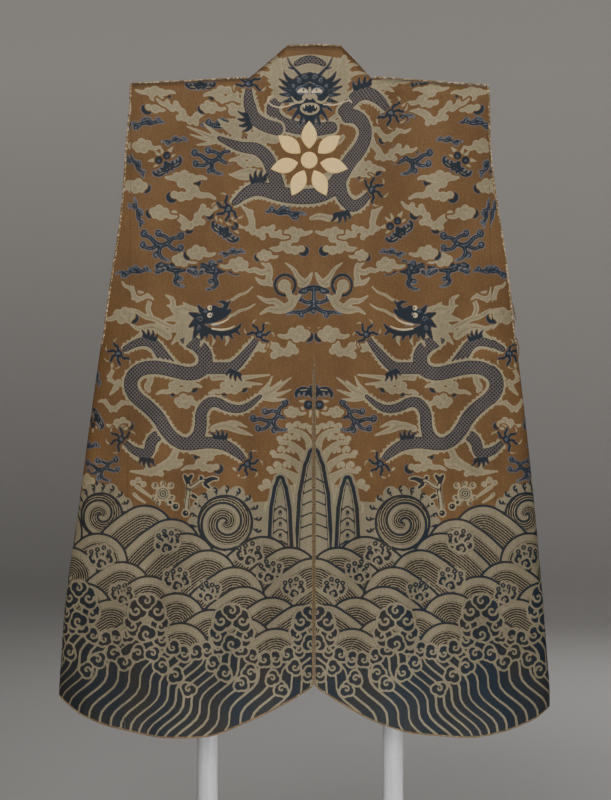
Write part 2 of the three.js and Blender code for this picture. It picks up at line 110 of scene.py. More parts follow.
def curveValue(places, values, at):
    # a smooth curve through the rows that doesn't overshoot them
    slope = np.diff(values) / np.diff(places)
    before, after = slope[:-1], slope[1:]
    both = before * after
    middle = np.where(both > 0, 2 * both / np.where(both > 0, before + after, 1), 0)
    tangent = np.concatenate([slope[:1], middle, slope[-1:]])
    at = np.clip(at, places[0], places[-1])
    i = np.clip(np.searchsorted(places, at, side="right") - 1, 0, len(places) - 2)
    span = places[i + 1] - places[i]
    f = (at - places[i]) / span
    bend = f * (1 - f) ** 2 * span * tangent[i] + f * f * (f - 1) * span * tangent[i + 1]
    return mix(values[i], values[i + 1], smoothStep(f)) + bend


def signOf(side):
    return -1.0 if side == "left" else 1.0


def facing(face):
    return -1.0 if face == "back" else 1.0


def reach(side, z):
    return curveValue(outline[:, 0], outline[:, 1 if side == "left" else 2], z)


def hemHeight(x):
    middle = drape["centreX"]
    left, right = hemLine[hemLine[:, 0] <= middle], hemLine[hemLine[:, 0] >= middle]
    toLeft, toRight = curveValue(*left.T, x), curveValue(*right.T, x)
    return drape["hemLow"] + np.where(x < middle, toLeft, toRight)


def sideEdge(side, z):
    tucked = np.where(z > drape["armholeBottom"] + 1, drape["corded"], 0)
    return reach(side, z) - signOf(side) * tucked


def goreSeam(side, z):
    top, foot = gores[side]["top"], gores[side]["foot"]
    start = sideEdge(side, np.array(top)) - signOf(side) * drape["goreInset"]
    seam = mix(foot, start, (z - drape["hemLow"]) / (top - drape["hemLow"]))
    return signOf(side) * np.minimum(np.abs(seam), np.abs(sideEdge(side, z)))


def topAt(face, x):
    if face == "back":
        return [np.interp(x, topEdge[:, 0], topEdge[:, k]) for k in (1, 2, 3, 4)]
    line = topEdge[[0, 1, 5, 6]]
    still = np.zeros_like(x)
    return [np.interp(x, line[:, 0], line[:, 1]), still, still + drape["barTurn"], still]


def clothDepth(face, x, z):
    topZ, topDepth, turn, upright = topAt(face, x)
    below = np.clip((topZ - z) / turn, 0, 1)
    rounded = np.sqrt(np.maximum(1 - (1 - below) ** 2, 0))
    stand = np.sin(math.pi / 2 * below)
    turned = mix(topDepth, drape["barTurn"], mix(rounded, stand, upright))
    hang = np.clip((drape["hangFrom"] - z) / (drape["hangFrom"] - drape["hemLow"]), 0, 1)
    hang = hang ** drape["hangBend"]
    depth = turned + (drape["hemDepth"][face] - drape["barTurn"]) * hang
    for place, width, fold, top in folds[face]:
        fade = smoothStep((top - z) / (top - drape["hemLow"]))
        depth = depth + fold * fade * np.exp(-((x - place) / width) ** 2)
    opened = smoothStep((z - drape["armholeBottom"]) / drape["spreadHeight"])
    opened = opened * drape["armholeSpread"]
    middle = drape["centreX"]
    closing = np.where(x < middle, reach("left", z) - opened, reach("right", z) + opened)
    across = np.clip((x - middle) / (closing - middle), 0, 1)
    ring = np.maximum(1 - across ** drape["roundness"], 0) ** (1 / drape["roundness"])
    flat = smoothStep((z - drape["flatFrom"]) / (drape["flatTo"] - drape["flatFrom"]))
    return depth * mix(ring, 1, flat)


def outerY(face, x, z):
    return facing(face) * np.maximum(clothDepth(face, x, z), drape["seamGap"] / 2)


def outward(face, x, z):
    # unit vectors out of the cloth
    step = 0.3
    sx = (outerY(face, x + step, z) - outerY(face, x - step, z)) / (2 * step)
    sz = (outerY(face, x, z + step) - outerY(face, x, z - step)) / (2 * step)
    normal = np.stack([-sx, np.ones_like(sx), -sz], axis=-1) * facing(face)
    return normal / np.linalg.norm(normal, axis=-1, keepdims=True)


# heights in millimetres of the slight unevenness of old silk
relief = {"broad": 0.5, "fine": 0.35, "level": 0.3, "foot": 1.5, "shoulder": 0.55, "hem": 0.9,
          "top": 1.1, "seam": 0.5}


def reliefAt(x, z):
    waves = relief["broad"] * np.sin(x / 41 + 1.3 * np.sin(z / 170))
    waves = waves + relief["fine"] * np.sin(x / 17 - z / 230)
    waves = waves + relief["level"] * np.sin(z / 57 + x / 90)
    low = smoothStep((850 - z) / 430) * (0.6 + 0.4 * np.sin(x / 83 + 1))
    waves = waves + relief["foot"] * low * np.sin(x / 19 + 0.9 * np.sin(z / 130) + 0.6)
    fromMiddle = np.abs(x - drape["centreX"])
    high = smoothStep((z - 960) / 120) * smoothStep((fromMiddle - 60) / 60)
    waves = waves + relief["shoulder"] * high * np.sin((0.8 * fromMiddle + z) / 14 + np.sin(x / 47))
    hem = np.clip(1 - (z - hemHeight(x)) / 34, 0, 1) ** 2 * relief["hem"]
    hem = hem * np.sin(x / 3.9 + 2 * np.sin(x / 23))
    under = np.clip(1 - np.abs(z - 1196) / 60, 0, 1) ** 2 * relief["top"]
    under = under * np.sin(x / 7.3 + 1.5 * np.sin(x / 31))
    seam = np.exp(-fromMiddle / 9) * relief["seam"] * np.sin(z / 11 + np.sin(z / 37))
    return (waves + hem + under + seam) * smoothStep((1218 - z) / 25)


def shaped(face, x, z):
    # outer and inner points of the cloth at places across and up
    y = outerY(face, x, z)
    out = outward(face, x, z)
    outer = np.stack([x, y, z], axis=-1)
    still = smoothStep((np.abs(y) - 3) / 9)
    outer = outer + out * (reliefAt(x, z) * still)[..., None]
    inner = outer - out * drape["wall"]
    half = drape["seamGap"] / 2
    for layer in (outer, inner):
        layer[..., 1] = facing(face) * np.maximum(facing(face) * layer[..., 1], half)
    return outer, inner


# edges and grids of the cut pieces
def centreEdge(side, z):
    parted = smoothStep((drape["ventTop"] - z) / 30) * drape["corded"]
    return drape["centreX"] + signOf(side) * (drape["sewnGap"] / 2 + parted)


def cornerOf(side, name):
    row = ("tip", "neck", "collar").index(name)
    return topEdge[row if side == "left" else 6 - row]


def bandEdge(side, edge, z):
    start = cornerOf(side, "collar" if edge == "inner" else "neck")[0]
    width = 0 if edge == "inner" else drape["bandWidth"]
    low = drape["centreX"] + signOf(side) * (drape["frontGap"] + width)
    neckZ = cornerOf(side, "neck")[1]
    drop = np.clip((z - drape["neckDrop"]) / (neckZ - drape["neckDrop"]), 0, 1)
    return mix(low, start, drop ** 1.3)


def panelGrid(face, columns, rows, fromX, toX):
    # from the top edge, over the turn and down to the hem, in even steps along the cloth
    share, down = np.meshgrid(np.linspace(0, 1, columns + 1), np.linspace(0, 1, rows + 1))
    high, low = np.array(drape["seamTop"]), np.array(drape["hemLow"])
    topZ, _, turn, upright = topAt(face, mix(fromX(high), toX(high), share))
    hemX = mix(fromX(low), toX(low), share)
    hem = hemHeight(hemX) + drape["corded"]
    arc = turn * math.pi / 2
    run = down * (arc + topZ - turn - hem)
    angle = np.clip(run / arc, 0, 1)
    turning = topZ - turn * mix(1 - np.cos(angle * math.pi / 2), angle, upright)
    z = np.where(run < arc, turning, topZ - turn - (run - arc))
    return shaped(face, mix(fromX(z), toX(z), share), z)


def goreGrid(face, side, columns, rows):
    # columns crowd towards the side edge, where the cloth turns round
    share, down = np.meshgrid(np.linspace(0, 1, columns + 1), np.linspace(0, 1, rows + 1))
    share = 1 - (1 - share) ** 1.7
    gap = signOf(side) * drape["seamGap"]
    low = np.array(drape["hemLow"])
    bottomX = mix(goreSeam(side, low), sideEdge(side, low), share)
    z = mix(gores[side]["top"], hemHeight(bottomX) + drape["corded"], down)
    return shaped(face, mix(goreSeam(side, z) + gap, sideEdge(side, z), share), z)


def bandGrid(side, columns, turnRows, hangRows):
    # from behind the fold of the standing collar over the bar, then down the front edge
    sign, gap = signOf(side), drape["seamGap"]
    collar, neck = cornerOf(side, "collar"), cornerOf(side, "neck")
    share, f = np.meshgrid(np.linspace(0, 1, columns + 1), np.linspace(0, 1, turnRows + 1))
    angle = math.pi / 2 * f
    foldX = mix(collar[0], neck[0] - sign * 2 * gap, share)
    foldZ = mix(collar[1], neck[1], share)
    into = np.maximum(0, -outward("back", foldX, foldZ)[..., 1])
    behind = outerY("back", foldX, foldZ) + drape["wall"] * into
    startY = mix(behind, -gap / 2, share ** 4) + 2 * gap
    lineZ = topAt("front", np.array(neck[0]))[0] - drape["barTurn"]
    frontZ = mix(drape["bandFrontZ"], lineZ, share)
    z = mix(frontZ, foldZ, np.cos(angle) ** mix(1.5, 1, share))
    outerX = bandEdge(side, "outer", z) - sign * 2 * gap
    hangingX = mix(bandEdge(side, "inner", z) + sign * drape["corded"], outerX, share)
    turnY = mix(startY, drape["barTurn"], np.sin(angle))
    turn = np.stack([mix(foldX, hangingX, f), turnY, z], axis=-1)
    share, f = np.meshgrid(np.linspace(0, 1, columns + 1), np.linspace(0, 1, hangRows + 1)[1:])
    across = drape["frontGap"] + mix(drape["corded"], drape["bandWidth"], share)
    hem = hemHeight(drape["centreX"] + sign * across) + drape["corded"]
    z = mix(mix(drape["bandFrontZ"], lineZ, share), hem, f)
    inner, outer = bandEdge(side, "inner", z), bandEdge(side, "outer", z)
    x = mix(inner + sign * drape["corded"], outer - sign * gap, share)
    y = np.maximum(outerY("front", x, z), drape["barTurn"])
    outer = np.concatenate([turn, np.stack([x, y, z], axis=-1)], axis=0)
    normal = np.cross(np.gradient(outer, axis=1), np.gradient(outer, axis=0))
    normal /= np.linalg.norm(normal, axis=-1, keepdims=True)
    normal *= np.where(normal[..., 1:2] + normal[..., 2:3] < 0, -1, 1)
    return outer, outer - normal * drape["wall"]


def newPiece(name, bm):
    mesh = bpy.data.meshes.new(name)
    bm.to_mesh(mesh)
    bm.free()
    mesh.polygons.foreach_set("use_smooth", np.ones(len(mesh.polygons), bool))
    piece = bpy.data.objects.new(name, mesh)
    bpy.context.collection.objects.link(piece)
    return piece


def sheetMesh(name, points, flip):
    # a smooth sheet through a grid of points in millimetres, with a flat layout in two halves
    rows, columns = points.shape[0] - 1, points.shape[1] - 1
    bm = bmesh.new()
    bmesh.ops.create_grid(bm, x_segments=columns, y_segments=rows, size=0.5)
    if flip:
        bmesh.ops.reverse_faces(bm, faces=bm.faces)
    piece = newPiece(name, bm)
    mesh = piece.data
    flat = np.zeros(len(mesh.vertices) * 3)
    mesh.vertices.foreach_get("co", flat)
    flat = flat.reshape(-1, 3)
    column = np.rint((flat[:, 0] + 0.5) * columns).astype(int)
    row = np.rint((0.5 - flat[:, 1]) * rows).astype(int)
    mesh.vertices.foreach_set("co", (points[row, column] * mm).ravel())
    corner = np.zeros(len(mesh.loops), int)
    mesh.loops.foreach_get("vertex_index", corner)
    half = rows // 2
    lower = np.repeat(row[corner].reshape(-1, 4).min(axis=1) >= half, 4)
    u = column[corner] / columns * 0.47 + 0.015 + 0.5 * lower
    v = (row[corner] - half * lower) / max(rows - half, half) * 0.97 + 0.015
    uv = np.stack([u, v], axis=-1)
    mesh.uv_layers.new(name="OFBake").data.foreach_set("uv", uv.ravel())
    mesh.update()
    return piece, row, column


def setAttribute(piece, name, values):
    data = piece.data.attributes.new(name, "FLOAT_VECTOR", "POINT").data
    data.foreach_set("vector", values.astype(np.float32).ravel())


def laidFlat(points, seamU):
    # pattern coordinates of a grid: across from the centre seam, and up. Only what turns away
    # from the face is measured along the cloth.
    across = np.diff(points, axis=1)
    extra = np.maximum(0, np.linalg.norm(across, axis=2) - 1.3 * np.abs(across[..., 0]))
    extra = np.concatenate([np.zeros((len(points), 1)), np.cumsum(extra, axis=1)], axis=1)
    u = points[..., 0] - drape["centreX"] + seamU * extra
    down = np.diff(points, axis=0)
    over = np.maximum(0, np.linalg.norm(down, axis=2) - 1.3 * np.abs(down[..., 2]))
    over = np.cumsum(over[::-1], axis=0)[::-1]
    return u, points[..., 2] + np.concatenate([over, np.zeros((1, points.shape[1]))], axis=0)


grids = {}
for side in ("left", "right"):
    seam = lambda z, side=side: goreSeam(side, z)
    grids["back_" + side] = panelGrid("back", 168, 592, lambda z: centreEdge(side, z), seam)
    grids["front_" + side] = panelGrid("front", 96, 408, lambda z: bandEdge(side, "outer", z), seam)
    for face, columns, rows in (("back", 64, 480), ("front", 40, 320)):
        grids["gore_" + face + "_" + side] = goreGrid(face, side, columns, rows)
    grids["band_" + side] = bandGrid(side, 24, 32, 336)
print("cut pieces shaped", {name: grid[0].shape[:2] for name, grid in grids.items()})

# woven pattern
# Each ink is a field of distances to its edge, in millimetres and negative inside, on a canvas
# laid flat over the silk. Places are across from the centre-back seam and up from the floor.

canvas = {"reach": 420, "low": 222, "high": 1345, "far": 8.0, "none": 99.0, "plainFrom": 1262}
inks = ["wave", "navy", "scale", "blue", "sage", "olive", "cream"]
# the names under which the fields travel to the silk, by threes
inkPacks = {"inkLow": ("wave", "navy", "scale"), "inkHigh": ("blue", "sage", "olive"),
            "inkTop": ("cream", "swell", "edge")}
canvasU = np.arange(-canvas["reach"], canvas["reach"] + 1, dtype=np.float32)
canvasV = np.arange(canvas["low"], canvas["high"] + 1, dtype=np.float32)
field = {ink: np.full((len(canvasV), len(canvasU)), canvas["far"], np.float32) for ink in inks}
# how far a point lies below the rim of its wave
swell = np.full((len(canvasV), len(canvasU)), canvas["none"], np.float32)


def cornersCut(part, times=2):
    # a line through rows of across, up and half width, with its corners rounded
    part = np.array(part, float)
    for _ in range(times if len(part) > 2 else 0):
        one, two = part[:-1], part[1:]
        middle = np.stack([0.75 * one + 0.25 * two, 0.25 * one + 0.75 * two], axis=1).reshape(-1, 3)
        part = np.concatenate([part[:1], middle, part[-1:]])
    return part


def placed(parts, at=(0, 0), size=1.0, turn=0.0, flip=False):
    # parts of a motif at their place on the canvas
    c, s = math.cos(math.radians(turn)), math.sin(math.radians(turn))
    moved = []
    for part in parts:
        part = cornersCut(part)
        u, v = part[:, 0] * (-size if flip else size), part[:, 1] * size
        columns = [at[0] + u * c - v * s, at[1] + u * s + v * c, part[:, 2] * size]
        moved.append(np.stack(columns, axis=1))
    return moved


def distanceTo(parts, margin=7):
    # distance to the nearest of the parts, over a window of the canvas
    rows = np.concatenate(parts)
    low = (rows[:, :2] - rows[:, 2:3]).min(axis=0) - margin
    high = (rows[:, :2] + rows[:, 2:3]).max(axis=0) + margin
    corner = (-canvas["reach"], canvas["low"])
    low, high = low - corner, high - corner
    cols = slice(int(max(low[0], 0)), int(min(high[0] + 1, len(canvasU))))
    lines = slice(int(max(low[1], 0)), int(min(high[1] + 1, len(canvasV))))
    u, v = np.meshgrid(canvasU[cols], canvasV[lines])
    best = np.full(u.shape, canvas["none"], np.float32)
    for part in parts:
        for one, two in zip(part, part[1:] if len(part) > 1 else part):
            du, dv = two[0] - one[0], two[1] - one[1]
            along = (u - one[0]) * du + (v - one[1]) * dv
            f = np.clip(along / max(du * du + dv * dv, 1e-6), 0, 1)
            away = np.hypot(u - one[0] - f * du, v - one[1] - f * dv)
            best = np.minimum(best, away - (one[2] + f * (two[2] - one[2])))
    return (lines, cols), best


def lay(ink, spot, distance, mirrored=True):
    # an ink covers what lies below it, and cuts away the inks that would show above it
    lines, cols = spot
    wide = len(canvasU)
    if mirrored:
        distance = np.maximum(distance, -canvasU[cols] - 0.6)  # each half stops at the centre seam
    copies = [(cols, distance)]
    if mirrored:
        copies.append((slice(wide - cols.stop, wide - cols.start), distance[:, ::-1]))
    for place, off in copies:
        for name in inks:
            values = field[name][lines, place]
            if name == ink:
                np.minimum(values, off, out=values)
            elif ink == "ground" or inks.index(name) > inks.index(ink):
                np.maximum(values, -off, out=values)


def draw(ink, parts, where, grow=0.0):
    if not parts:  # a motif of short branches has no drawn lines
        return
    place = {key: where[key] for key in ("at", "size", "turn", "flip") if key in where}
    spot, distance = distanceTo(placed(parts, **place))
    lay(ink, spot, distance - grow, where.get("mirrored", True))


def curl(u, v, radius, turns=1.15, start=0.0, way=1, thick=1.2):
    # a line that coils inwards
    steps = 12
    part = []
    for k in range(steps + 1):
        f = k / steps
        angle = math.radians(start) + way * 2 * math.pi * turns * f
        r = radius * (1 - 0.82 * f)
        part.append((u + r * math.cos(angle), v + r * math.sin(angle), thick * (1 - 0.3 * f)))
    return part


def reflected(parts, side):
    return [[(side * u, v, r) for u, v, r in part] for part in parts]


cloudForms = {
    "round": {
        "body": [[(-20, 4, 7.5)], [(-9, 10, 8.5)], [(4, 9, 8)], [(14, 3, 7.5)], [(5, -6, 8)],
                 [(-8, -7, 8)], [(-16, -3, 7)],
                 [(12, -4, 5), (23, -10, 4.6), (33, -8, 4), (43, -13, 1.2)],
                 [(-20, 2, 5), (-32, 4, 3.8), (-40, 0, 1.2)]],
        "curls": [curl(-11, 8, 4.6, start=200), curl(4, 7, 4.6, start=180),
                  curl(-8, -7, 4.4, start=160), curl(14, 1, 3.6, start=100)],
        "end": [[(-24, -1, 7)], [(12, -10, 5)]],
    },
    "stack": {
        "body": [[(-15, 17, 7.5)], [(-3, 20, 8)], [(8, 15, 7.5)], [(-7, 7, 7.5)],
                 [(4, 3, 7.5)], [(13, -4, 8)], [(5, -12, 8)],
                 [(-7, -14, 8)], [(-18, -11, 6)],
                 [(12, -6, 6), (24, -13, 5), (35, -11, 4), (46, -17, 1.3)],
                 [(-14, 16, 5), (-26, 15, 4), (-36, 19, 1.3)],
                 [(14, 14, 5), (24, 17, 3.6), (31, 14, 1.2)]],
        "curls": [curl(-4, 18, 5, start=200), curl(-15, 15, 3.6, start=180),
                  curl(12, -5, 4.6, start=90), curl(-6, -13, 4.6, start=160),
                  curl(5, -12, 4, start=20)],
        "end": [[(-22, -15, 6.5)], [(14, 9, 7)]],
    },
    "zigzag": {
        "body": [[(-48, 20, 1.6), (-38, 18, 4.6), (-28, 12, 6.4), (-20, 4, 6.6), (-16, -6, 7)],
                 [(-30, 17, 6.4)], [(-10, -12, 7.6)],
                 [(2, -10, 7.6)], [(8, -1, 7.2)], [(18, 4, 7.2)],
                 [(27, -1, 6.6), (37, 3, 5.4), (47, 1, 4), (57, 7, 1.4)],
                 [(12, -14, 6)], [(-22, -12, 5.6)], [(22, 11, 5.6)], [(38, 9, 4.6)]],
        "curls": [curl(-28, 14, 4, start=250), curl(-10, -11, 4.6, start=180),
                  curl(3, -9, 4, start=30), curl(18, 5, 4.4, start=160)],
        "end": [[(-14, -17, 6)], [(29, -7, 5.4)]],
    },
    "ribbon": {
        "body": [[(-42, 10, 1.4), (-32, 13, 4.4), (-22, 8, 5.6), (-16, -2, 6), (-5, -8, 6.4),
                  (6, -5, 6.4), (14, 4, 6), (25, 8, 5), (35, 4, 4), (46, 11, 1.4)],
                 [(-9, -11, 6)], [(18, 9, 5.4)], [(-24, 12, 5.6)], [(3, -12, 5)]],
        "curls": [curl(-8, -9, 4, start=180), curl(15, 5, 3.6, start=160)],
        "end": [[(-14, -13, 5)]],
    },
    "puff": {
        "body": [[(-12, 1, 6.6)], [(-3, 7, 7)], [(8, 4, 6.6)], [(2, -5, 7)], [(-8, -5, 5.6)],
                 [(9, 0, 5), (19, -4, 3.8), (28, -1, 1.2)]],
        "curls": [curl(-4, 5, 4, start=190), curl(3, -4, 3.4, start=20)],
        "end": [[(-15, -3, 6)]],
    },
}


def paleCloud(form, darkEnd=False, **where):
    shape = cloudForms[form]
    body = [[(u, v, max(r, 2.4)) for u, v, r in part] for part in shape["body"]]
    draw("ground", body, where, 3.0)
    if darkEnd:
        draw("blue", shape["end"], where, 3.6)
        draw("navy", shape["end"], where, 2.3)
        draw("ground", body, where, 1.3)
    draw("sage", body, where)
    draw("olive", [[(u, v, 0.55) for u, v, r in part[:9]] for part in shape["curls"]], where)


# stems of the dark clouds, and the curls that they end in: across, up, radius, start, way
branchForms = {
    "lacy": {
        "stems": [[(-26, 14, 3), (-16, 12, 3.6), (-10, 2, 4), (-1, -3, 4.4), (9, 0, 4),
                   (17, 7, 3.6), (25, 8, 3)],
                  [(-10, 2, 3.6), (-20, -5, 3.2), (-28, -4, 2.8)],
                  [(-1, -3, 4), (1, -13, 3.6), (-6, -21, 3), (-17, -23, 1.6)],
                  [(4, -3, 3.6), (13, -10, 3.4), (22, -9, 2.8)],
                  [(-12, 8, 3), (-3, 13, 3.4), (4, 12, 3)]],
        "curls": [(-27, 18, 5.4, 270, -1), (27, 12, 5.4, 270, 1), (-30, 0, 4.6, 270, -1),
                  (25, -5, 4.6, 270, 1), (6, 16, 4.6, 270, 1),
                  (3, -18, 4, 90, -1)],
    },
    "headed": {
        "stems": [[(-34, 6, 4.4), (-26, 11, 5), (-16, 9, 4.6), (-8, 3, 4)],
                  [(34, 8, 4.4), (26, 13, 5), (16, 10, 4.6), (8, 3, 4)],
                  [(-14, 2, 4.4), (0, -1, 5), (14, 2, 4.4)],
                  [(0, -2, 4.4), (3, -11, 4), (-2, -19, 4), (6, -26, 3), (16, -27, 1.5)],
                  [(-22, 0, 3.6), (-30, -5, 3)], [(22, 1, 3.6), (31, -4, 3)],
                  [(0, 0, 4), (0, 10, 3.6)]],
        "curls": [(-26, 9, 4.6, 200, 1), (26, 11, 4.6, -20, -1), (-6, 14, 5, 270, -1),
                  (6, 14, 5, 270, 1), (-33, -2, 4, 270, -1),
                  (34, -1, 4, 270, 1), (9, -15, 4, 180, -1)],
    },
    "tee": {
        "stems": [[(-20, 18, 4), (-10, 23, 4.6), (0, 24, 5), (10, 23, 4.6), (20, 18, 4)],
                  [(0, 22, 3.6), (0, 8, 3.2), (0, -4, 4)],
                  [(0, 4, 3.2), (-10, 1, 3), (-19, 6, 3)], [(0, 4, 3.2), (10, 1, 3), (19, 6, 3)],
                  [(0, -2, 4), (-9, -10, 3.4), (-19, -13, 3.6), (-31, -12, 2.6), (-40, -15, 1.4)],
                  [(0, -2, 4), (9, -10, 3.4), (19, -13, 3.6), (31, -12, 2.6), (40, -15, 1.4)]],
        "curls": [(-13, 20, 4.4, 180, 1), (13, 20, 4.4, 0, -1), (-21, 9, 3.8, 270, -1),
                  (21, 9, 3.8, 270, 1), (-18, -17, 3.8, 90, 1),
                  (18, -17, 3.8, 90, -1), (0, -11, 4, 90, 1)],
    },
    "bar": {
        "stems": [[(-30, 2, 2.4), (-19, 4, 3.6), (-8, -1, 4), (3, 2, 4), (13, -2, 3.8),
                   (24, 1, 3), (33, -2, 1.4)],
                  [(-10, 2, 3.4), (-5, 8, 3)], [(10, -2, 3.4), (15, -8, 3)]],
        "curls": [(-20, 7, 4.2, 270, -1), (-1, 9, 4.2, 200, 1), (18, -7, 4, 90, -1),
                  (5, 5, 3.6, 180, -1)],
    },
}


def darkCloud(form, **where):
    shape = branchForms[form]
    stems = [[(u, v, r * 0.82) for u, v, r in stem] for stem in shape["stems"]]
    ends = [curl(u, v, radius, 1.0, start, way, 2.0) for u, v, radius, start, way in shape["curls"]]
    pads = [[(u, v, radius * 0.8)] for u, v, radius, start, way in shape["curls"]]
    draw("ground", stems + pads, where, 3.6)
    draw("blue", stems + pads + ends, where, 1.4)
    draw("navy", stems + pads + ends, where)
    lines = [curl(u, v, radius * 0.7, 1.1, start, way, 0.7) for u, v, radius, start,
             way in shape["curls"]]
    draw("blue", lines + [[(u, v, 0.55) for u, v, r in stem] for stem in shape["stems"]], where)


def bat(**where):
    # a bat with two round peaches at its tail
    wing = [[(2, 5, 3.4), (10, 14, 4), (20, 15, 3.4), (27, 9, 2.6), (26, 3, 1.4)],
            [(8, 13, 3.4), (12, 5, 1.6)], [(17, 15, 3.2), (19, 6, 1.5)], [(3, 10, 3), (5, 19, 1.4)]]
    wings = reflected(wing, -1) + wing + [[(0, 2, 4), (0, 12, 4)], [(0, 12, 5)]]
    draw("ground", wings, where, 3.4)
    draw("blue", wings, where, 1.4)
    draw("navy", wings, where)
    leaves = [[(14, -13, 4.4), (25, -17, 1)], [(4, -17, 3.4), (6, -27, 1)],
              [(12, -4, 3.4), (22, -3, 1)]]
    draw("sage", reflected(leaves, -1) + leaves, where)
    for side in (-1, 1):
        draw("ground", [[(8 * side, -9, 6.8)]], where, 1.4)
        draw("navy", [[(8 * side, -9, 6.8)]], where)
        draw("blue", [curl(8 * side, -9, 3.4, thick=0.6)], where)
    lights = [[(2.5, 13, 1.2)], [(10, 14, 0.9), (20, 13, 0.9)]]
    draw("sage", reflected(lights, -1) + lights, where)


def claw(**where):
    # five jointed toes with hooked nails round a ball
    toes, nails = [], []
    for angle in (-112, -56, 0, 52, 104):
        c, s = math.cos(math.radians(angle)), math.sin(math.radians(angle))
        toes.append([(4 * c, 4 * s, 2.4), (9 * c - 2.4 * s, 9 * s + 2.4 * c, 1.5),
                     (12 * c - 1.6 * s, 12 * s + 1.6 * c, 2.5),
                     (16 * c + 1.6 * s, 16 * s - 1.6 * c, 1.4),
                     (18 * c + 1.8 * s, 18 * s - 1.8 * c, 2.1)])
        nails.append([(20 * c + 1.4 * s, 20 * s - 1.4 * c, 1.5),
                      (24 * c - 2 * s, 24 * s + 2 * c, 1.2), (24 * c - 8 * s, 24 * s + 8 * c, 0.6)])
    draw("ground", toes + nails + [[(0, 0, 6.0)]], where, 2.4)
    draw("sage", nails, where)
    draw("blue", toes + [[(0, 0, 5.8)]], where, 1.0)
    draw("navy", toes + [[(0, 0, 5.8)]], where)
    draw("blue", [curl(0, 0, 3.6, thick=0.8)], where)


def flame(branches, **where):
    draw("sage", branches, where)
    cores = [[(u, v, 0.7) for u, v, r in branch[:-1]] for branch in branches if len(branch) > 3]
    draw("olive", cores, where)


def teethAlong(path, low, high, step, tooth):
    # pointed teeth down both sides of the path's parts, leaning along them
    teeth = []
    for part in path:
        run = np.concatenate([[0], np.cumsum(np.hypot(*np.diff(part[:, :2], axis=0).T))])
        for at in np.arange(4, run[-1], step):
            u, v, r = (np.interp(at, run, part[:, k]) for k in range(3))
            du = np.interp(at + 1, run, part[:, 0]) - np.interp(at - 1, run, part[:, 0])
            dv = np.interp(at + 1, run, part[:, 1]) - np.interp(at - 1, run, part[:, 1])
            length = max(math.hypot(du, dv), 1e-3)
            du, dv = du / length, dv / length
            for side in (-1, 1):
                teeth.append(np.array([(u - side * dv * (r + low), v + side * du * (r + low),
                                        tooth),
                                       (u - side * dv * (r + high) + 3 * du,
                                        v + side * du * (r + high) + 3 * dv, 0.7)]))
    return teeth


def frilled(limbs, where, frill=4.6, tooth=2.6, slim=1.0):
    # scaled limbs of one body, with a pale toothed fringe round them all
    mirrored = where.get("mirrored", True)
    path = [part * (1, 1, slim) for part in placed(limbs)]
    teeth = teethAlong(path, frill * 0.5, frill * 1.5, 7.2, tooth)
    spot, distance = distanceTo(path, 7 + frill)
    lay("sage", spot, distance - frill, mirrored)
    lay("sage", *distanceTo(teeth), mirrored)
    lay("navy", spot, distance - 1.1, mirrored)
    lay("scale", spot, distance, mirrored)


def elbow(**where):
    spikes = [[(-10, 0, 3.4), (-13, 6, 1.8), (-12, 11, 0.8)],
              [(-4, 1, 3.4), (-5, 9, 2), (-2, 14, 0.8)],
              [(3, 1, 3.4), (4, 8, 2), (8, 13, 0.8)], [(9, 0, 3.2), (13, 5, 1.8), (18, 8, 0.8)],
              [(-10, -1, 3.4), (10, -1, 3.4)]]
    draw("blue", spikes, where, 0.9)
    draw("navy", spikes, where)


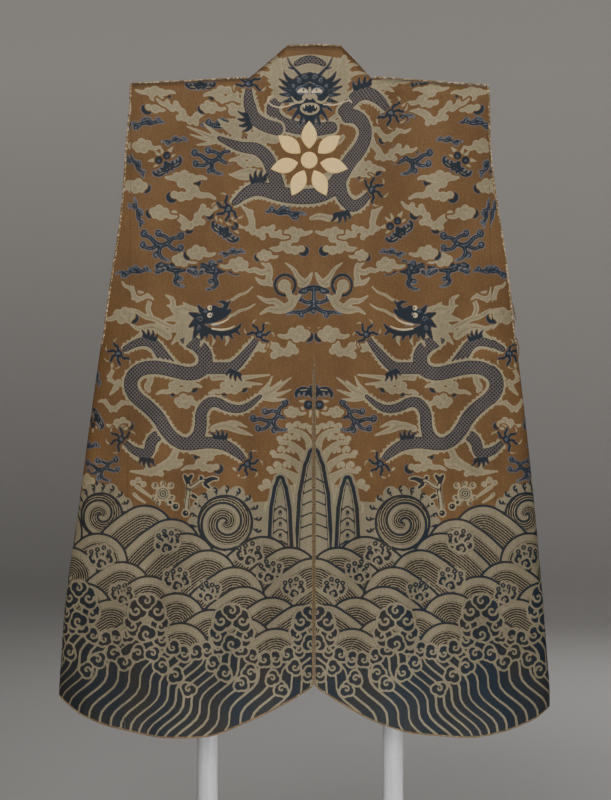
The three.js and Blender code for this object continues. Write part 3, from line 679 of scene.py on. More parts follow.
def sideDragon():
    where = {}
    # pale flames and ribbons behind the body
    flame([[(204, 872, 5), (212, 880, 5), (211, 893, 4), (222, 899, 1.4)],
           [(206, 850, 3), (222, 854, 4), (238, 864, 4), (252, 866, 3.6), (266, 876, 3),
            (282, 880, 1.1)],
           [(244, 868, 3.6), (250, 880, 3.8), (244, 892, 3.8), (256, 902, 3.6), (272, 904, 3),
            (288, 914, 1.1)]])
    flame([[(218, 838, 6), (230, 848, 7), (244, 852, 6), (262, 848, 4), (275, 856, 1.4)],
           [(240, 846, 6), (256, 842, 4.6), (270, 834, 1.4)]])
    flame([[(150, 776, 5), (134, 778, 5.4), (118, 774, 4.6), (104, 776, 3.6), (66, 780, 1.3)],
           [(128, 778, 5), (112, 768, 4.2), (78, 766, 1.3)]])
    flame([[(150, 700, 5), (132, 706, 6), (116, 698, 5), (92, 690, 1.4)],
           [(136, 704, 5), (118, 710, 4), (100, 702, 1.2)]])
    flame([[(205, 668, 5), (212, 652, 6), (228, 642, 6), (246, 634, 5), (274, 636, 1.4)],
           [(214, 652, 5), (200, 650, 4), (194, 654, 1.2)]])
    flame([[(244, 780, 4), (244, 770, 5), (250, 762, 5), (246, 756, 3)]])
    flame([[(292, 770, 4), (298, 758, 4), (306, 750, 1.2)], [(286, 738, 4), (298, 730, 1.2)]])
    # tail fan
    flame([[(78, 750, 5), (64, 754, 4.4), (50, 764, 3), (34, 776, 1)],
           [(74, 752, 5), (60, 760, 3.4), (48, 772, 1)],
           [(78, 754, 4), (68, 764, 2.8), (62, 778, 1)],
           [(74, 748, 4.4), (54, 750, 3.4), (34, 758, 1)],
           [(76, 746, 4), (58, 742, 3), (42, 744, 1)]])
    # legs and body
    body = [(196, 838, 7), (188, 830, 9.5), (172, 824, 10.5), (160, 808, 11), (164, 788, 11),
            (184, 780, 10.5), (208, 786, 10.5),
            (234, 792, 10.5), (258, 790, 10.5), (274, 776, 10.5), (274, 757, 10.5),
            (262, 743, 10.5), (247, 732, 10.5),
            (231, 716, 10.5), (221, 697, 10), (207, 682, 10), (189, 675, 9.8), (172, 687, 9.6),
            (168, 706, 9), (169, 724, 8.6),
            (158, 739, 8), (144, 740, 7.4), (129, 731, 6.6), (110, 728, 5.6), (95, 735, 4.2),
            (80, 748, 2.2)]
    frilled([[(204, 784, 8.5), (223, 804, 9), (240, 830, 8), (262, 830, 6), (282, 819, 4)],
             [(224, 694, 8.5), (243, 684, 8.5), (246, 660, 8), (268, 666, 6), (280, 677, 4)]],
             where, 4.0, slim=0.86)
    frilled([body, [(166, 790, 9), (142, 790, 9), (120, 790, 8.5), (104, 808, 7),
                    (92, 823, 5), (86, 832, 4)],
             [(184, 676, 9), (156, 680, 9), (132, 676, 8.5), (114, 664, 7), (105, 655, 4)]],
             where, 4.0, slim=0.86)
    for at, turn in (((246, 836), 20), ((249, 653), 190), ((118, 783), 205), ((140, 687), 5)):
        elbow(at=at, turn=turn, size=0.8)
    for at, turn in (((292, 812), -35), ((288, 683), 40), ((82, 840), 120), ((99, 648), 225)):
        claw(at=at, turn=turn, size=0.92)
    # mane
    flame([[(176, 872, 9), (192, 880, 6), (206, 878, 4), (220, 884, 1.2)],
           [(182, 864, 10), (202, 866, 7), (224, 862, 1.4)],
           [(186, 854, 10), (202, 852, 8), (218, 844, 1.6)],
           [(190, 846, 8), (202, 838, 5), (212, 826, 1.4)],
           [(178, 846, 8), (188, 834, 5), (194, 822, 1.2)], [(184, 878, 5), (196, 888, 1.2)]])
    flame([[(168, 840, 5), (166, 830, 3), (170, 822, 1)],
           [(150, 842, 4), (148, 832, 2.6), (152, 824, 1)],
           [(132, 842, 4), (128, 832, 2.6), (132, 824, 1)]])
    flame([[(136, 868, 2), (122, 868, 2.2), (112, 876, 2.2), (100, 878, 1.8), (88, 886, 1)],
           [(130, 890, 2), (122, 892, 2.2), (112, 900, 2.2), (102, 902, 1.8), (92, 912, 1)]])
    # skull, nose, jaws with teeth, ear and beard
    skull = [[(170, 862, 9)], [(172, 850, 7)], [(162, 872, 6.4)], [(166, 842, 5), (168, 833, 1)],
             [(176, 844, 4), (180, 834, 1)],
             [(158, 876, 5), (150, 880, 4.6), (143, 876, 4)],
             [(146, 872, 5), (136, 877, 4.6), (131, 884, 3.6), (137, 890, 2), (143, 888, 1)],
             [(131, 884, 2.6), (126, 890, 0.9)], [(160, 862, 6), (146, 864, 5), (133, 870, 4.4),
                                                  (126, 876, 2.6)],
             [(168, 850, 6), (152, 844, 4), (136, 841, 3.6), (122, 844, 3.4), (113, 850, 2.6),
              (109, 856, 1)],
             [(160, 845, 3.4), (160, 835, 1)], [(150, 843, 3), (147, 834, 1)],
             [(139, 840, 3), (136, 832, 1)], [(127, 842, 2.8), (121, 834, 1)],
             [(117, 846, 2.4), (110, 840, 1)], [(178, 858, 5), (186, 852, 1.4)],
             [(176, 868, 5), (186, 872, 1.4)], [(168, 876, 4), (174, 884, 1)]]
    draw("blue", skull, where, 1.1)
    draw("navy", skull, where)
    draw("blue", [curl(170, 863, 5, thick=0.8), curl(173, 850, 4, start=90, thick=0.7),
                  [(158, 856, 0.8), (148, 853, 0.8), (140, 853, 0.8)],
                  [(138, 880, 0.7), (135, 884, 0.7)], curl(162, 874, 3, thick=0.7)], where)
    draw("cream", [[(152, 855, 1.4), (140, 857, 1.5), (130, 862, 1.2), (124, 868, 0.8)],
                   [(152, 849, 1.3), (138, 847, 1.4), (126, 849, 1.2), (118, 853, 0.8)]], where)
    for v in (880, 869):
        draw("cream", [[(156, v, 3.8)]], where)
        draw("navy", [[(155, v, 1.5)]], where)


def frontDragon():
    where = {"mirrored": False}
    middle = -6  # of the head
    # far parts of the body, with their flames
    flame([[(-60, 1100, 4), (-76, 1106, 6), (-96, 1112, 5), (-118, 1106, 1.4)],
           [(-58, 1062, 6), (-80, 1080, 6), (-104, 1086, 5), (-128, 1080, 1.4)],
           [(-90, 1078, 5), (-112, 1074, 4), (-132, 1080, 1.2)]],
          mirrored=False)
    flame([[(-120, 1140, 6), (-136, 1150, 6), (-150, 1162, 1.4)],
           [(-106, 1148, 7), (-126, 1156, 5), (-146, 1152, 1.4)]],
          mirrored=False)
    flame([[(70, 1210, 5), (84, 1216, 6), (106, 1218, 5), (126, 1222, 1.4)],
           [(96, 1214, 5), (112, 1210, 4), (124, 1204, 1.2)]],
          mirrored=False)
    flame([[(38, 1056, 5), (40, 1070, 7), (30, 1082, 5), (16, 1078, 3)],
           [(-4, 1014, 3), (8, 1018, 5), (28, 1012, 5), (44, 1020, 5)]],
          mirrored=False)
    flame([[(28, 1164, 3), (44, 1174, 4), (54, 1186, 3), (66, 1190, 1)],
           [(24, 1156, 3), (44, 1160, 4), (58, 1168, 3), (70, 1170, 1)],
           [(44, 1136, 4), (34, 1126, 5), (22, 1130, 3), (14, 1124, 1)]], mirrored=False)
    # tail
    flame([[(-146, 1134, 4), (-162, 1136, 4), (-178, 1144, 3), (-197, 1152, 1)],
           [(-150, 1134, 4), (-168, 1132, 3), (-192, 1140, 1)],
           [(-146, 1136, 4), (-158, 1144, 3), (-172, 1156, 1)],
           [(-146, 1132, 4), (-164, 1126, 3), (-182, 1124, 1)]],
          mirrored=False)
    frilled([[(-24, 1150, 8), (-44, 1154, 9), (-60, 1164, 9.5), (-66, 1180, 9.5), (-54, 1194, 7)],
             [(-30, 1150, 8), (0, 1146, 9), (26, 1150, 8)]], where)
    frilled([[(50, 1166, 8), (66, 1168, 10), (82, 1158, 11), (88, 1140, 11), (76, 1118, 11),
              (56, 1100, 11), (42, 1080, 11),
              (32, 1062, 11), (10, 1048, 10.5), (-20, 1046, 10.5), (-52, 1050, 10.5),
              (-84, 1060, 9.5), (-104, 1054, 8), (-122, 1038, 4)],
             [(-54, 1060, 10), (-62, 1084, 10), (-72, 1106, 9), (-90, 1119, 8.5),
              (-112, 1120, 7), (-130, 1126, 5), (-148, 1134, 2.5)],
             [(38, 1070, 9.5), (42, 1046, 9), (60, 1030, 8.5), (78, 1038, 6), (90, 1050, 4)],
             [(44, 1174, 7), (64, 1194, 9), (84, 1204, 9), (106, 1192, 6), (118, 1180, 4)],
             [(-56, 1148, 9), (-80, 1154, 9), (-98, 1166, 9), (-102, 1186, 7.5), (-99, 1206, 4)]],
             where)
    for at, turn in (((-86, 1072), 10), ((42, 1020), 190), ((76, 1213), 20), ((-106, 1160), 110)):
        elbow(at=at, turn=turn, mirrored=False)
    for at, turn in (((-132, 1029), 215), ((95, 1056), 30), ((126, 1172), -40), ((-98, 1216), 85)):
        claw(at=at, turn=turn, mirrored=False)
    # mane round the face, with thorns along its edge
    mane = [[(-50, 1196, 8), (-58, 1214, 9), (-54, 1236, 9), (-58, 1256, 4)],
            [(38, 1196, 8), (46, 1214, 9), (42, 1236, 9), (46, 1256, 4)],
            [(-40, 1246, 10), (-6, 1250, 11), (28, 1246, 10)],
            [(-36, 1226, 12), (-6, 1236, 12), (26, 1226, 12)],
            [(-44, 1206, 10), (-30, 1190, 8)], [(34, 1206, 10), (20, 1190, 8)],
            [(-58, 1222, 4.4), (-74, 1233, 3.4), (-92, 1234, 1.2)],
            [(-58, 1238, 4), (-70, 1246, 3), (-80, 1244, 1.0)],
            [(46, 1222, 4.4), (62, 1233, 3.4), (82, 1232, 1.2)],
            [(46, 1238, 4), (58, 1246, 3), (68, 1244, 1.0)], [(-58, 1204, 5), (-68, 1192, 1.2)],
            [(46, 1204, 5), (56, 1192, 1.2)]]
    thorns = teethAlong(placed(mane[:2]), 0.0, 4.4, 6.5, 2.2)
    lay("sage", *distanceTo(thorns), False)
    draw("sage", mane, where)
    locks = []
    for side in (-1, 1):
        for du, v in ((40, 1240), (46, 1228), (50, 1214), (45, 1202), (34, 1244), (22, 1243)):
            locks.append([(side * (du - 8), v - 7, 0.5), (side * (du - 2), v - 3, 0.6),
                          (side * (du + 1), v + 5, 0.5)])
    draw("olive", locks, {"at": (middle, 0), "mirrored": False})
    frilled([[(-26, 1246, 3.4), (-16, 1251, 4.6), (-6, 1253, 5), (4, 1251, 4.6), (14, 1246, 3.4)]],
            where, 1.6, 1.0)
    # head, the same on both sides of its middle
    at = {"at": (middle, 0), "mirrored": False}
    head = [[(0, 1226, 7)], [(0, 1204, 13)], [(0, 1188, 12)], [(0, 1174, 9)],
            [(0, 1168, 4), (0, 1158, 2.4), (0, 1149, 0.8)]]
    lines, pale, teeth, rims = [], [], [], []
    for side in (-1, 1):
        half = [[(7, 1224, 7.4)], [(17, 1220, 7)], [(25, 1212, 5.6)], [(13, 1206, 12)],
                [(14, 1194, 9.6)], [(10, 1184, 9)], [(9, 1174, 8)],
                [(22, 1216, 5), (33, 1222, 3), (39, 1233, 0.8)],
                [(25, 1212, 5), (36, 1215, 3), (46, 1223, 0.8)],
                [(26, 1206, 4.6), (37, 1207, 2.8), (48, 1212, 0.8)],
                [(25, 1200, 4.4), (36, 1199, 2.6), (46, 1200, 0.8)],
                [(22, 1194, 4.2), (32, 1190, 2.5), (41, 1188, 0.8)],
                [(18, 1185, 4), (27, 1180, 2.3), (34, 1174, 0.8)],
                [(15, 1177, 4), (22, 1169, 2.2), (27, 1160, 0.8)],
                [(9, 1170, 4), (13, 1160, 2.2), (16, 1151, 0.8)],
                [(5, 1168, 3.4), (5, 1158, 1.8), (7, 1150, 0.8)],
                [(14, 1228, 2.2), (21, 1236, 1.5), (29, 1244, 1.2), (33, 1254, 0.8)],
                [(23, 1238, 1.3), (32, 1240, 0.7)]]
        head += reflected(half, side)
        half = [curl(7, 1225, 4.6, thick=0.8), curl(17, 1220, 4.4, start=60, thick=0.8),
                curl(25, 1212, 3.2, start=40, thick=0.7),
                [(3, 1217, 0.7), (9, 1213, 0.8), (17, 1212, 0.8), (22, 1206, 0.7)],
                [(7, 1199.5, 0.6), (12, 1199, 0.7), (18, 1201, 0.6)],
                [(28, 1206, 0.5), (38, 1208, 0.5)], [(27, 1199, 0.5), (36, 1199, 0.5)],
                [(24, 1193, 0.5), (32, 1190, 0.5)],
                [(20, 1184, 0.5), (27, 1179, 0.5)], [(9, 1167, 0.5), (12, 1160, 0.5)]]
        lines += reflected(half, side)
        half = [[(4, 1200, 2.6), (8, 1195, 3.6)], [(10, 1190, 1.8), (17, 1187, 2),
                                                   (23, 1190, 1.6), (28, 1197, 0.8)],
                [(0, 1185.6, 1.5), (8, 1185, 1.6), (13.5, 1181, 1.7), (12, 1174.5, 1.7),
                 (5, 1170.6, 1.6), (0, 1170.2, 1.6)]]
        pale += reflected(half, side)
        teeth += [[(side * 8.6, 1183, 1.5), (side * 8.2, 1178.6, 0.7)], [(side * 3, 1183, 1.2)],
                  [(side * 5, 1173.4, 1.2)]]
        rims.append([(side * 4.4, 1203.4, 1.9), (side * 10.4, 1206.6, 3.7),
                     (side * 17, 1204.2, 1.7)])
    draw("blue", head, at, 1.1)
    draw("navy", head, at)
    draw("blue", lines, at)
    draw("sage", pale + [[(0, 1210, 1.4), (0, 1202, 3), (0, 1196, 4.4)]], at)
    draw("navy", [[(4.6, 1193.4, 1.3)], [(-4.6, 1193.4, 1.3)],
                  [(-3, 1199.4, 0.5), (0, 1200.6, 0.5), (3, 1199.4, 0.5)]], at)
    draw("cream", teeth, at)
    draw("blue", rims, at, 1.2)
    draw("cream", rims, at)
    draw("navy", [[(-9.4, 1206.4, 1.7)], [(10, 1206.4, 1.7)]], at)
    # whiskers
    draw("cream", [[(-26, 1187, 0.9), (-42, 1181, 1.1), (-58, 1180, 1.1), (-72, 1187, 1.1),
                    (-72, 1196, 1), (-62, 1198, 0.8)],
                   [(14, 1185, 0.9), (28, 1183, 1.1), (42, 1187, 1.1), (57, 1192, 1.1),
                    (61, 1187, 0.9)]], where)


def flamingPearl():
    where = {}
    flame([[(60, 914, 3.5), (70, 918, 4.6), (66, 930, 5.2), (68, 943, 5), (78, 949, 4),
            (88, 956, 1.2)],
           [(68, 936, 4.6), (80, 932, 4.6), (90, 938, 4), (99, 934, 3), (112, 945, 1.2)],
           [(66, 918, 4.6), (79, 917, 4.4), (88, 925, 1.4)]])
    flame([[(26, 917, 4), (15, 914, 5), (8, 922, 4.6), (3, 932, 1.6)],
           [(14, 918, 4.4), (24, 926, 4), (30, 938, 3), (42, 947, 1.2)]])
    flame([[(36, 900, 5), (29, 890, 6), (39, 880, 7), (55, 876, 6), (67, 879, 4), (80, 871, 1.4)],
           [(47, 882, 5), (58, 891, 5), (70, 889, 4), (85, 898, 1.3)],
           [(28, 892, 5), (20, 900, 1.4)]])
    draw("ground", [[(43, 914, 17.5)]], where, 1.5)
    spot, distance = distanceTo(placed([[(43, 914, 15.4)]]))
    lay("blue", spot, np.abs(distance) - 2.9)
    lay("navy", spot, np.abs(distance) - 1.9)
    draw("sage", [[(44, 913, 9.5)], [(38, 904, 5), (36, 896, 4)]], where)


def peak(at, height, halfWidth, chevrons, mirrored):
    # a rock of stacked chevrons within an outline
    where = {"at": at, "mirrored": mirrored}
    foot, waist = (0, -34, halfWidth), (0, height * 0.4, halfWidth * 0.84)
    neck, top = (0, height * 0.8, halfWidth * 0.58), (0, height, halfWidth * 0.34)
    body = [[foot, waist], [waist, neck], [neck, top]]
    draw("wave", body, where, 4.0)
    spot, distance = distanceTo(placed(body, at=at), 12)
    clearSwell(spot, distance - 4, mirrored)
    lay("navy", spot, distance, mirrored)
    lay("wave", spot, distance + 5.4, mirrored)
    lay("navy", spot, np.abs(distance + 7.9) - 0.75, mirrored)
    for k in range(chevrons):
        v = -22 + k * 17
        wide = (halfWidth - 9.5) * (1 - 0.42 * max(v, 0) / height)
        draw("navy", [[(-wide, v - 3, 1.1), (0, v + 5, 1.1), (wide, v - 3, 1.1)]], where)
        draw("navy", [[(0, v - 8, 2.8), (0, v - 4.6, 2.4)]], where)
        draw("wave", [[(0, v - 9, 1.0), (0, v - 7, 0.8)]], where)


def setSwell(spot, depth, inside, mirrored=True):
    # the drawn lines of the waves follow this depth
    lines, cols = spot
    wide = len(canvasU)
    if mirrored:
        inside = inside & (canvasU[cols] >= 0)
        other = slice(wide - cols.stop, wide - cols.start)
        swell[lines, other][inside[:, ::-1]] = depth[:, ::-1][inside[:, ::-1]]
    swell[lines, cols][inside] = depth[inside]


def clearSwell(spot, distance, mirrored=True):
    setSwell(spot, np.full_like(distance, canvas["none"]), distance < 0, mirrored)


def roundedWave(apexU, apexV, radius=45.0):
    # a hump whose drawn bands run down and outwards from its crest
    centre = apexV - radius
    path = [(apexU, centre, radius), (apexU + 24, centre - 16, radius),
            (apexU + 56, centre - 52, radius * 1.02),
            (apexU + 92, centre - 84, radius * 1.15)]
    spot, distance = distanceTo([cornersCut(path)])
    setSwell(spot, -distance, distance < 0)
    lay("wave", spot, distance)
    lay("navy", spot, np.abs(distance + 1.1) - 1.7)


def spiralWave(u, v, radius, pitch=23.0):
    # foam round a coiled wave
    foam, hooks = [], []
    out = radius + 6
    for k in range(16):
        angle = 2 * math.pi * k / 16
        foam.append([(u + out * math.cos(angle), v + out * math.sin(angle),
                      9.5 + 2.5 * math.sin(3 * k))])
    spot, distance = distanceTo([np.array(p, float) for p in foam])
    lay("wave", spot, distance)
    clearSwell(spot, distance)
    for k in range(13):
        degrees = -28 + 20 * k
        c, s = math.cos(math.radians(degrees)), math.sin(math.radians(degrees))
        hooks.append(curl(u + (radius + 8.5) * c, v + (radius + 8.5) * s, 4.6, 0.7, degrees,
                          1, 1.6))
        hooks.append([(u + (radius + 3) * c, v + (radius + 3) * s, 1.3),
                      (u + (radius + 5) * c - 3 * s, v + (radius + 5) * s + 3 * c, 0.6)])
    draw("navy", hooks, {})
    spot, distance = distanceTo([np.array([(u, v, radius)])])
    lines, cols = spot
    uu, vv = np.meshgrid(canvasU[cols] - u, canvasV[lines] - v)
    angle = np.arctan2(vv, uu) / (2 * math.pi)
    depth = radius - np.hypot(uu, vv) - pitch * ((angle + 0.25) % 1.0)
    inside = distance < 0
    setSwell(spot, np.mod(depth - 0.01, pitch) + 4.5, inside)
    lay("wave", spot, distance)
    lay("navy", spot, np.abs(distance + 1.1) - 1.8)
    coil = []
    for k in range(61):
        f = k / 60 * (radius / pitch)
        r = radius - pitch * f
        angle = -2 * math.pi * 0.25 + 2 * math.pi * f
        coil.append((u + r * math.cos(angle), v + r * math.sin(angle), 1.7))
    draw("navy", [coil[::2]], {})


def splash(u, v, size=1.0, flip=False):
    # dark foam heads with bubbles over them
    way = -1 if flip else 1
    for du, dv, radius, start in ((-12, 0, 8.5, 200), (0, 6, 9.5, 120), (12, -1, 8.5, 20),
                                  (1, -9, 8, 250)):
        scrollLobe(u + way * du * size, v + dv * size, radius * size, start, way)
    rings = [[(u + way * du * size, v + dv * size, 2.6)] for du,
             dv in ((-6, 15), (5, 18), (14, 11), (-16, 11))]
    spot, distance = distanceTo([np.array(ring) for ring in rings])
    clearSwell(spot, distance - 4)
    lay("wave", spot, distance - 2)
    lay("navy", spot, np.abs(distance) - 1.2)


def scrollLobe(u, v, radius, start, way=1):
    # a three-lobed scroll with a curl in it
    lobe = [[(u, v, radius * 0.72)]]
    for k in range(3):
        angle = math.radians(start + 180 + way * 95 * (k - 1))
        lobe.append([(u + 0.46 * radius * math.cos(angle), v + 0.46 * radius * math.sin(angle),
                      radius * 0.6)])
    spot, distance = distanceTo(placed(lobe))
    clearSwell(spot, distance - 3)
    lay("wave", spot, distance - 3.0)
    lay("navy", spot, distance)
    draw("wave", [curl(u, v, radius * 0.56, 0.95, start, way, 0.4 + radius * 0.11)], {})
    clearSwell(*distanceTo([np.array([(u, v, radius * 0.8)], float)]))


def scrollCluster(u, v, size=1.0):
    for du, dv, r, start, way in ((-21, -10, 14, 200, 1), (21, -10, 14, -20, -1),
                                  (0, -22, 13, 250, 1), (-16, 13, 15, 170, 1),
                                  (16, 13, 15, 10, -1), (0, 28, 12, 90, 1)):
        scrollLobe(u + du * size, v + dv * size, r * size, start, way)


def paintSea():
    where = {}
    # sea ground, then the deep water below it
    sea = [[(0, 450, 104), (430, 450, 104)], [(0, 560, 40), (60, 548, 44), (110, 556, 34)],
           [(292, 556, 26), (340, 560, 30)]]
    draw("wave", sea, where)
    for u, v, radius in ((318, 571, 33), (132, 560, 41)):
        spiralWave(u, v, radius)
    spray = [[(0, 600, 31)], [(36, 590, 24)], [(62, 582, 13)],
             [(0, 640, 13), (5, 666, 6), (9, 686, 4.6), (22, 696, 4), (36, 697, 3.4)],
             [(8, 648, 9), (22, 669, 4.6), (36, 679, 3.8), (50, 679, 2.8)],
             [(14, 636, 9), (30, 651, 4.6), (45, 660, 3.8), (60, 659, 2.8)],
             [(20, 620, 10), (35, 632, 5), (50, 639, 3.8), (64, 635, 2.8)],
             [(30, 606, 10), (50, 612, 5), (66, 616, 3.6), (78, 610, 2.4)]]
    for u, v, radius, start, way in ((2, 700, 7, 250, 1), (14, 702, 6, 200, -1),
                                     (26, 705, 6, 200, -1), (38, 703, 6, 230, -1),
                                     (28, 686, 6, 200, -1), (41, 687, 6, 200, -1),
                                     (52, 684, 5, 230, -1), (36, 667, 6, 200, -1),
                                     (50, 668, 6, 200, -1), (62, 663, 5, 230, -1),
                                     (42, 645, 6, 200, -1), (56, 645, 6, 200, -1),
                                     (67, 639, 5, 230, -1), (58, 620, 6, 200, -1),
                                     (72, 619, 6, 200, -1), (80, 612, 4, 230, -1)):
        spray.append(curl(u, v, radius, 0.8, start, way, 2.6))
    draw("sage", spray, where)
    draw("olive", [[(4, 650, 0.6), (9, 676, 0.6), (22, 693, 0.5)],
                   [(14, 646, 0.6), (26, 666, 0.6), (40, 676, 0.5)],
                   [(22, 636, 0.6), (36, 650, 0.6), (50, 656, 0.5)],
                   [(30, 618, 0.6), (42, 630, 0.6), (54, 635, 0.5)]], where)
    peak((0, 560), 102, 29, 6, False)
    peak((50, 552), 72, 20, 4, True)
    for u, v in ((392, 588), (252, 586), (212, 566), (404, 552), (322, 544), (190, 545),
                 (76, 540), (366, 522), (158, 520), (36, 524)):
        roundedWave(u, v)
    for u, v, flip in ((96, 512, True), (218, 530, False)):
        splash(u, v, 0.95, flip)
    for u, v in ((286, 502), (2, 508), (414, 500), (118, 495), (246, 481), (344, 470), (104, 466)):
        roundedWave(u, v)
    for u, v, flip in ((318, 506, True), (204, 474, True), (66, 486, False)):
        splash(u, v, 0.9, flip)
    for u, v in ((204, 456), (62, 450), (408, 452), (302, 446), (152, 432), (16, 440),
                 (254, 424), (368, 424), (104, 420), (198, 412), (56, 404)):
        roundedWave(u, v)
    for u, v, flip in ((286, 452, True), (30, 462, True), (156, 456, False)):
        splash(u, v, 0.8, flip)
    # deep water below a lobed edge, with bending lines
    edgeU = (0, 34, 66, 96, 120, 150, 196, 228, 250, 282, 320, 350, 400, 430)
    edgeV = (384, 368, 356, 364, 384, 374, 366, 388, 402, 392, 386, 408, 400, 398)
    top = 450 - canvas["low"]
    spot = (slice(0, top), slice(0, len(canvasU)))
    across, up = np.meshgrid(np.abs(canvasU), canvasV[:top])
    deep = 0.8 * (up - np.interp(across, edgeU, edgeV)).astype(np.float32)
    lay("wave", spot, deep - 3, False)
    clearSwell(spot, deep - 3, False)
    lay("navy", spot, deep, False)
    water = {"first": -11, "last": 27, "apart": 17.4, "lean": 0.66, "top": 432, "thick": 1.55}
    down = np.arange(0, 226, 9)
    for k in range(water["first"], water["last"]):
        phase = 0.5 * k
        bend = 7 * np.sin(down / 10.5 + phase) + 5 * math.sin(phase)
        line = np.stack([water["apart"] * k + water["lean"] * down + bend, water["top"] - down,
                         water["thick"] + 0.25 * np.sin(down / 17 + k)], axis=1)
        line = line[(line[:, 0] > 0.5) & (line[:, 0] < 424)]
        if len(line) > 1:
            spot, off = distanceTo([line])
            lines, cols = spot
            inside = np.full(off.shape, 9.0, np.float32)
            rows = max(0, min(top - lines.start, off.shape[0]))
            inside[:rows] = deep[lines.start:lines.start + rows, cols]
            lay("wave", spot, np.maximum(off, inside))
    for i, u in enumerate(range(6, 430, 17)):
        scrollLobe(u, np.interp(u, edgeU, edgeV) - 1, 10.5, 40 + 130 * (i % 2), 1 if i % 2 else -1)
    chain = ((298, 366, 10, 150), (322, 356, 10, 60), (338, 340, 9, 190), (262, 366, 10, 20),
             (226, 348, 10, 170), (206, 334, 10, 30),
             (186, 314, 9, 110), (240, 366, 9, 60), (150, 352, 9, 20), (132, 338, 10, 160),
             (94, 338, 10, 170),
             (108, 322, 9, 40), (48, 314, 9, 150), (62, 330, 9, 20), (386, 376, 10, 20),
             (366, 366, 10, 160), (394, 356, 9, 20), (28, 346, 9, 170),
             (8, 336, 9, 20), (282, 352, 9, 100))
    for i, (u, v, radius, start) in enumerate(chain):
        scrollLobe(u, v, radius * 1.15, start, 1 if i % 2 else -1)
    for u, v, size in ((352, 434, 1.0), (249, 416, 1.0), (122, 402, 1.0), (4, 402, 0.95)):
        scrollCluster(u, v, size)


def treasures():
    # flower with curled petals, coral, beads and a scroll above the waves
    where = {}
    petals = [(-12, 12, 5.4), (12, 12, 5.4), (-14, -6, 4.8), (14, -6, 4.8), (0, 15, 4.6),
              (-7, -14, 4.6), (7, -14, 4.6)]
    draw("sage", [[(225 + u, 603 + v, size)] for u, v, size in petals] + [[(225, 603, 11)]], where)
    draw("navy", [curl(225 + u, 603 + v, 3.3, start=90 if v > 0 else 270, thick=0.8) for u,
                  v, size in petals], where)
    for ink, size in (("navy", 8.6), ("sage", 7.0), ("navy", 5.2), ("sage", 3.4), ("navy", 1.6)):
        draw(ink, [[(225, 603, size)]], where)
    coral = [[(190, 580, 3), (189, 594, 2.8), (186, 608, 2.6), (188, 622, 2.4)],
             [(186, 611, 2.4), (176, 616, 2.4), (168, 623, 2.4), (158, 622, 2.2)]]
    tips = [[(188, 621, 3.4), (192, 629, 2.4)], [(186, 625, 3.2), (182, 630, 2)],
            [(159, 622, 3.6), (151, 626, 2.8), (144, 625, 1.4)],
            [(162, 617, 2.6), (156, 612, 1.8)], [(180, 600, 2.8), (175, 597, 1.8)],
            [(168, 627, 2.6)]]
    draw("sage", coral + tips, where, 2.0)
    draw("navy", coral, where, 0.8)
    draw("sage", coral, where, -1.0)
    draw("navy", tips, where)
    draw("navy", [curl(186, 609, 2.6, thick=0.7)], where)
    beads = [[(206, 584, 4.4)], [(191, 574, 4.4)], [(214, 590, 2.6)], [(176, 588, 2.4)]]
    draw("sage", beads, where, 2.2)
    draw("navy", beads, where)
    draw("sage", [[(205, 585, 1.3)], [(190, 575, 1.3)]], where)
    draw("sage", [[(270, 619, 4.4)], [(262, 623, 5)], [(254, 617, 4.6)],
                  [(264, 613, 3.4), (254, 606, 2.8), (243, 598, 1.8)],
                  [(268, 602, 3), (262, 596, 2.4), (252, 590, 1.6)]], where)
    draw("olive", [curl(262, 620, 3.8, thick=0.6), curl(267, 602, 2.2, thick=0.5)], where)
    draw("sage", [[(118, 640, 2.2)], [(112, 630, 1.8)]], where)


def strew(rows, mirrored=True):
    # clouds and bats in the order in which they overlap
    # each row: form, across, up, size, turn, flipped, dark end
    for form, u, v, size, turn, flip, end in rows:
        where = {"at": (u, v), "size": size, "turn": turn, "flip": flip, "mirrored": mirrored}
        if form == "bat":
            bat(**where)
        elif form in branchForms:
            darkCloud(form, **where)
        else:
            paleCloud(form, end, **where)


def paintSky():
    # the middle field, the same on both sides of the seam
    strew([("tee", 0, 886, 1, 0, 0, 0), ("bat", 0, 744, 1, 0, 0, 0)], False)
    strew([
        ("zigzag", 50, 824, 0.95, -8, 0, 0), ("puff", 24, 840, 1, 0, 0, 1),
        ("headed", 148, 934, 0.95, -3, 0, 0), ("headed", 208, 936, 0.85, 3, 1, 0),
        ("puff", 116, 944, 0.9, 0, 0, 0), ("puff", 198, 952, 0.9, 0, 1, 1),
        ("round", 124, 762, 0.75, 0, 0, 1), ("round", 200, 762, 0.8, 0, 0, 1),
        ("puff", 192, 740, 0.9, 0, 1, 0), ("lacy", 62, 714, 0.95, -20, 0, 0),
        ("puff", 32, 724, 0.7, 0, 1, 0), ("stack", 160, 652, 0.8, 0, 0, 1),
        ("zigzag", 236, 642, 0.7, 0, 1, 0), ("puff", 288, 706, 0.8, 0, 0, 1),
        ("ribbon", 298, 734, 0.6, 0, 1, 0), ("puff", 286, 868, 1, 0, 0, 1),
        ("ribbon", 302, 778, 0.5, 80, 0, 0), ("lacy", 318, 640, 0.8, 0, 0, 0),
        ("bar", 342, 672, 0.7, 0, 0, 0), ("bar", 330, 780, 0.6, 70, 0, 0),
        ("bat", 330, 712, 0.62, 60, 0, 0), ("puff", 344, 620, 0.9, 0, 0, 1),
    ])
    flamingPearl()
    sideDragon()


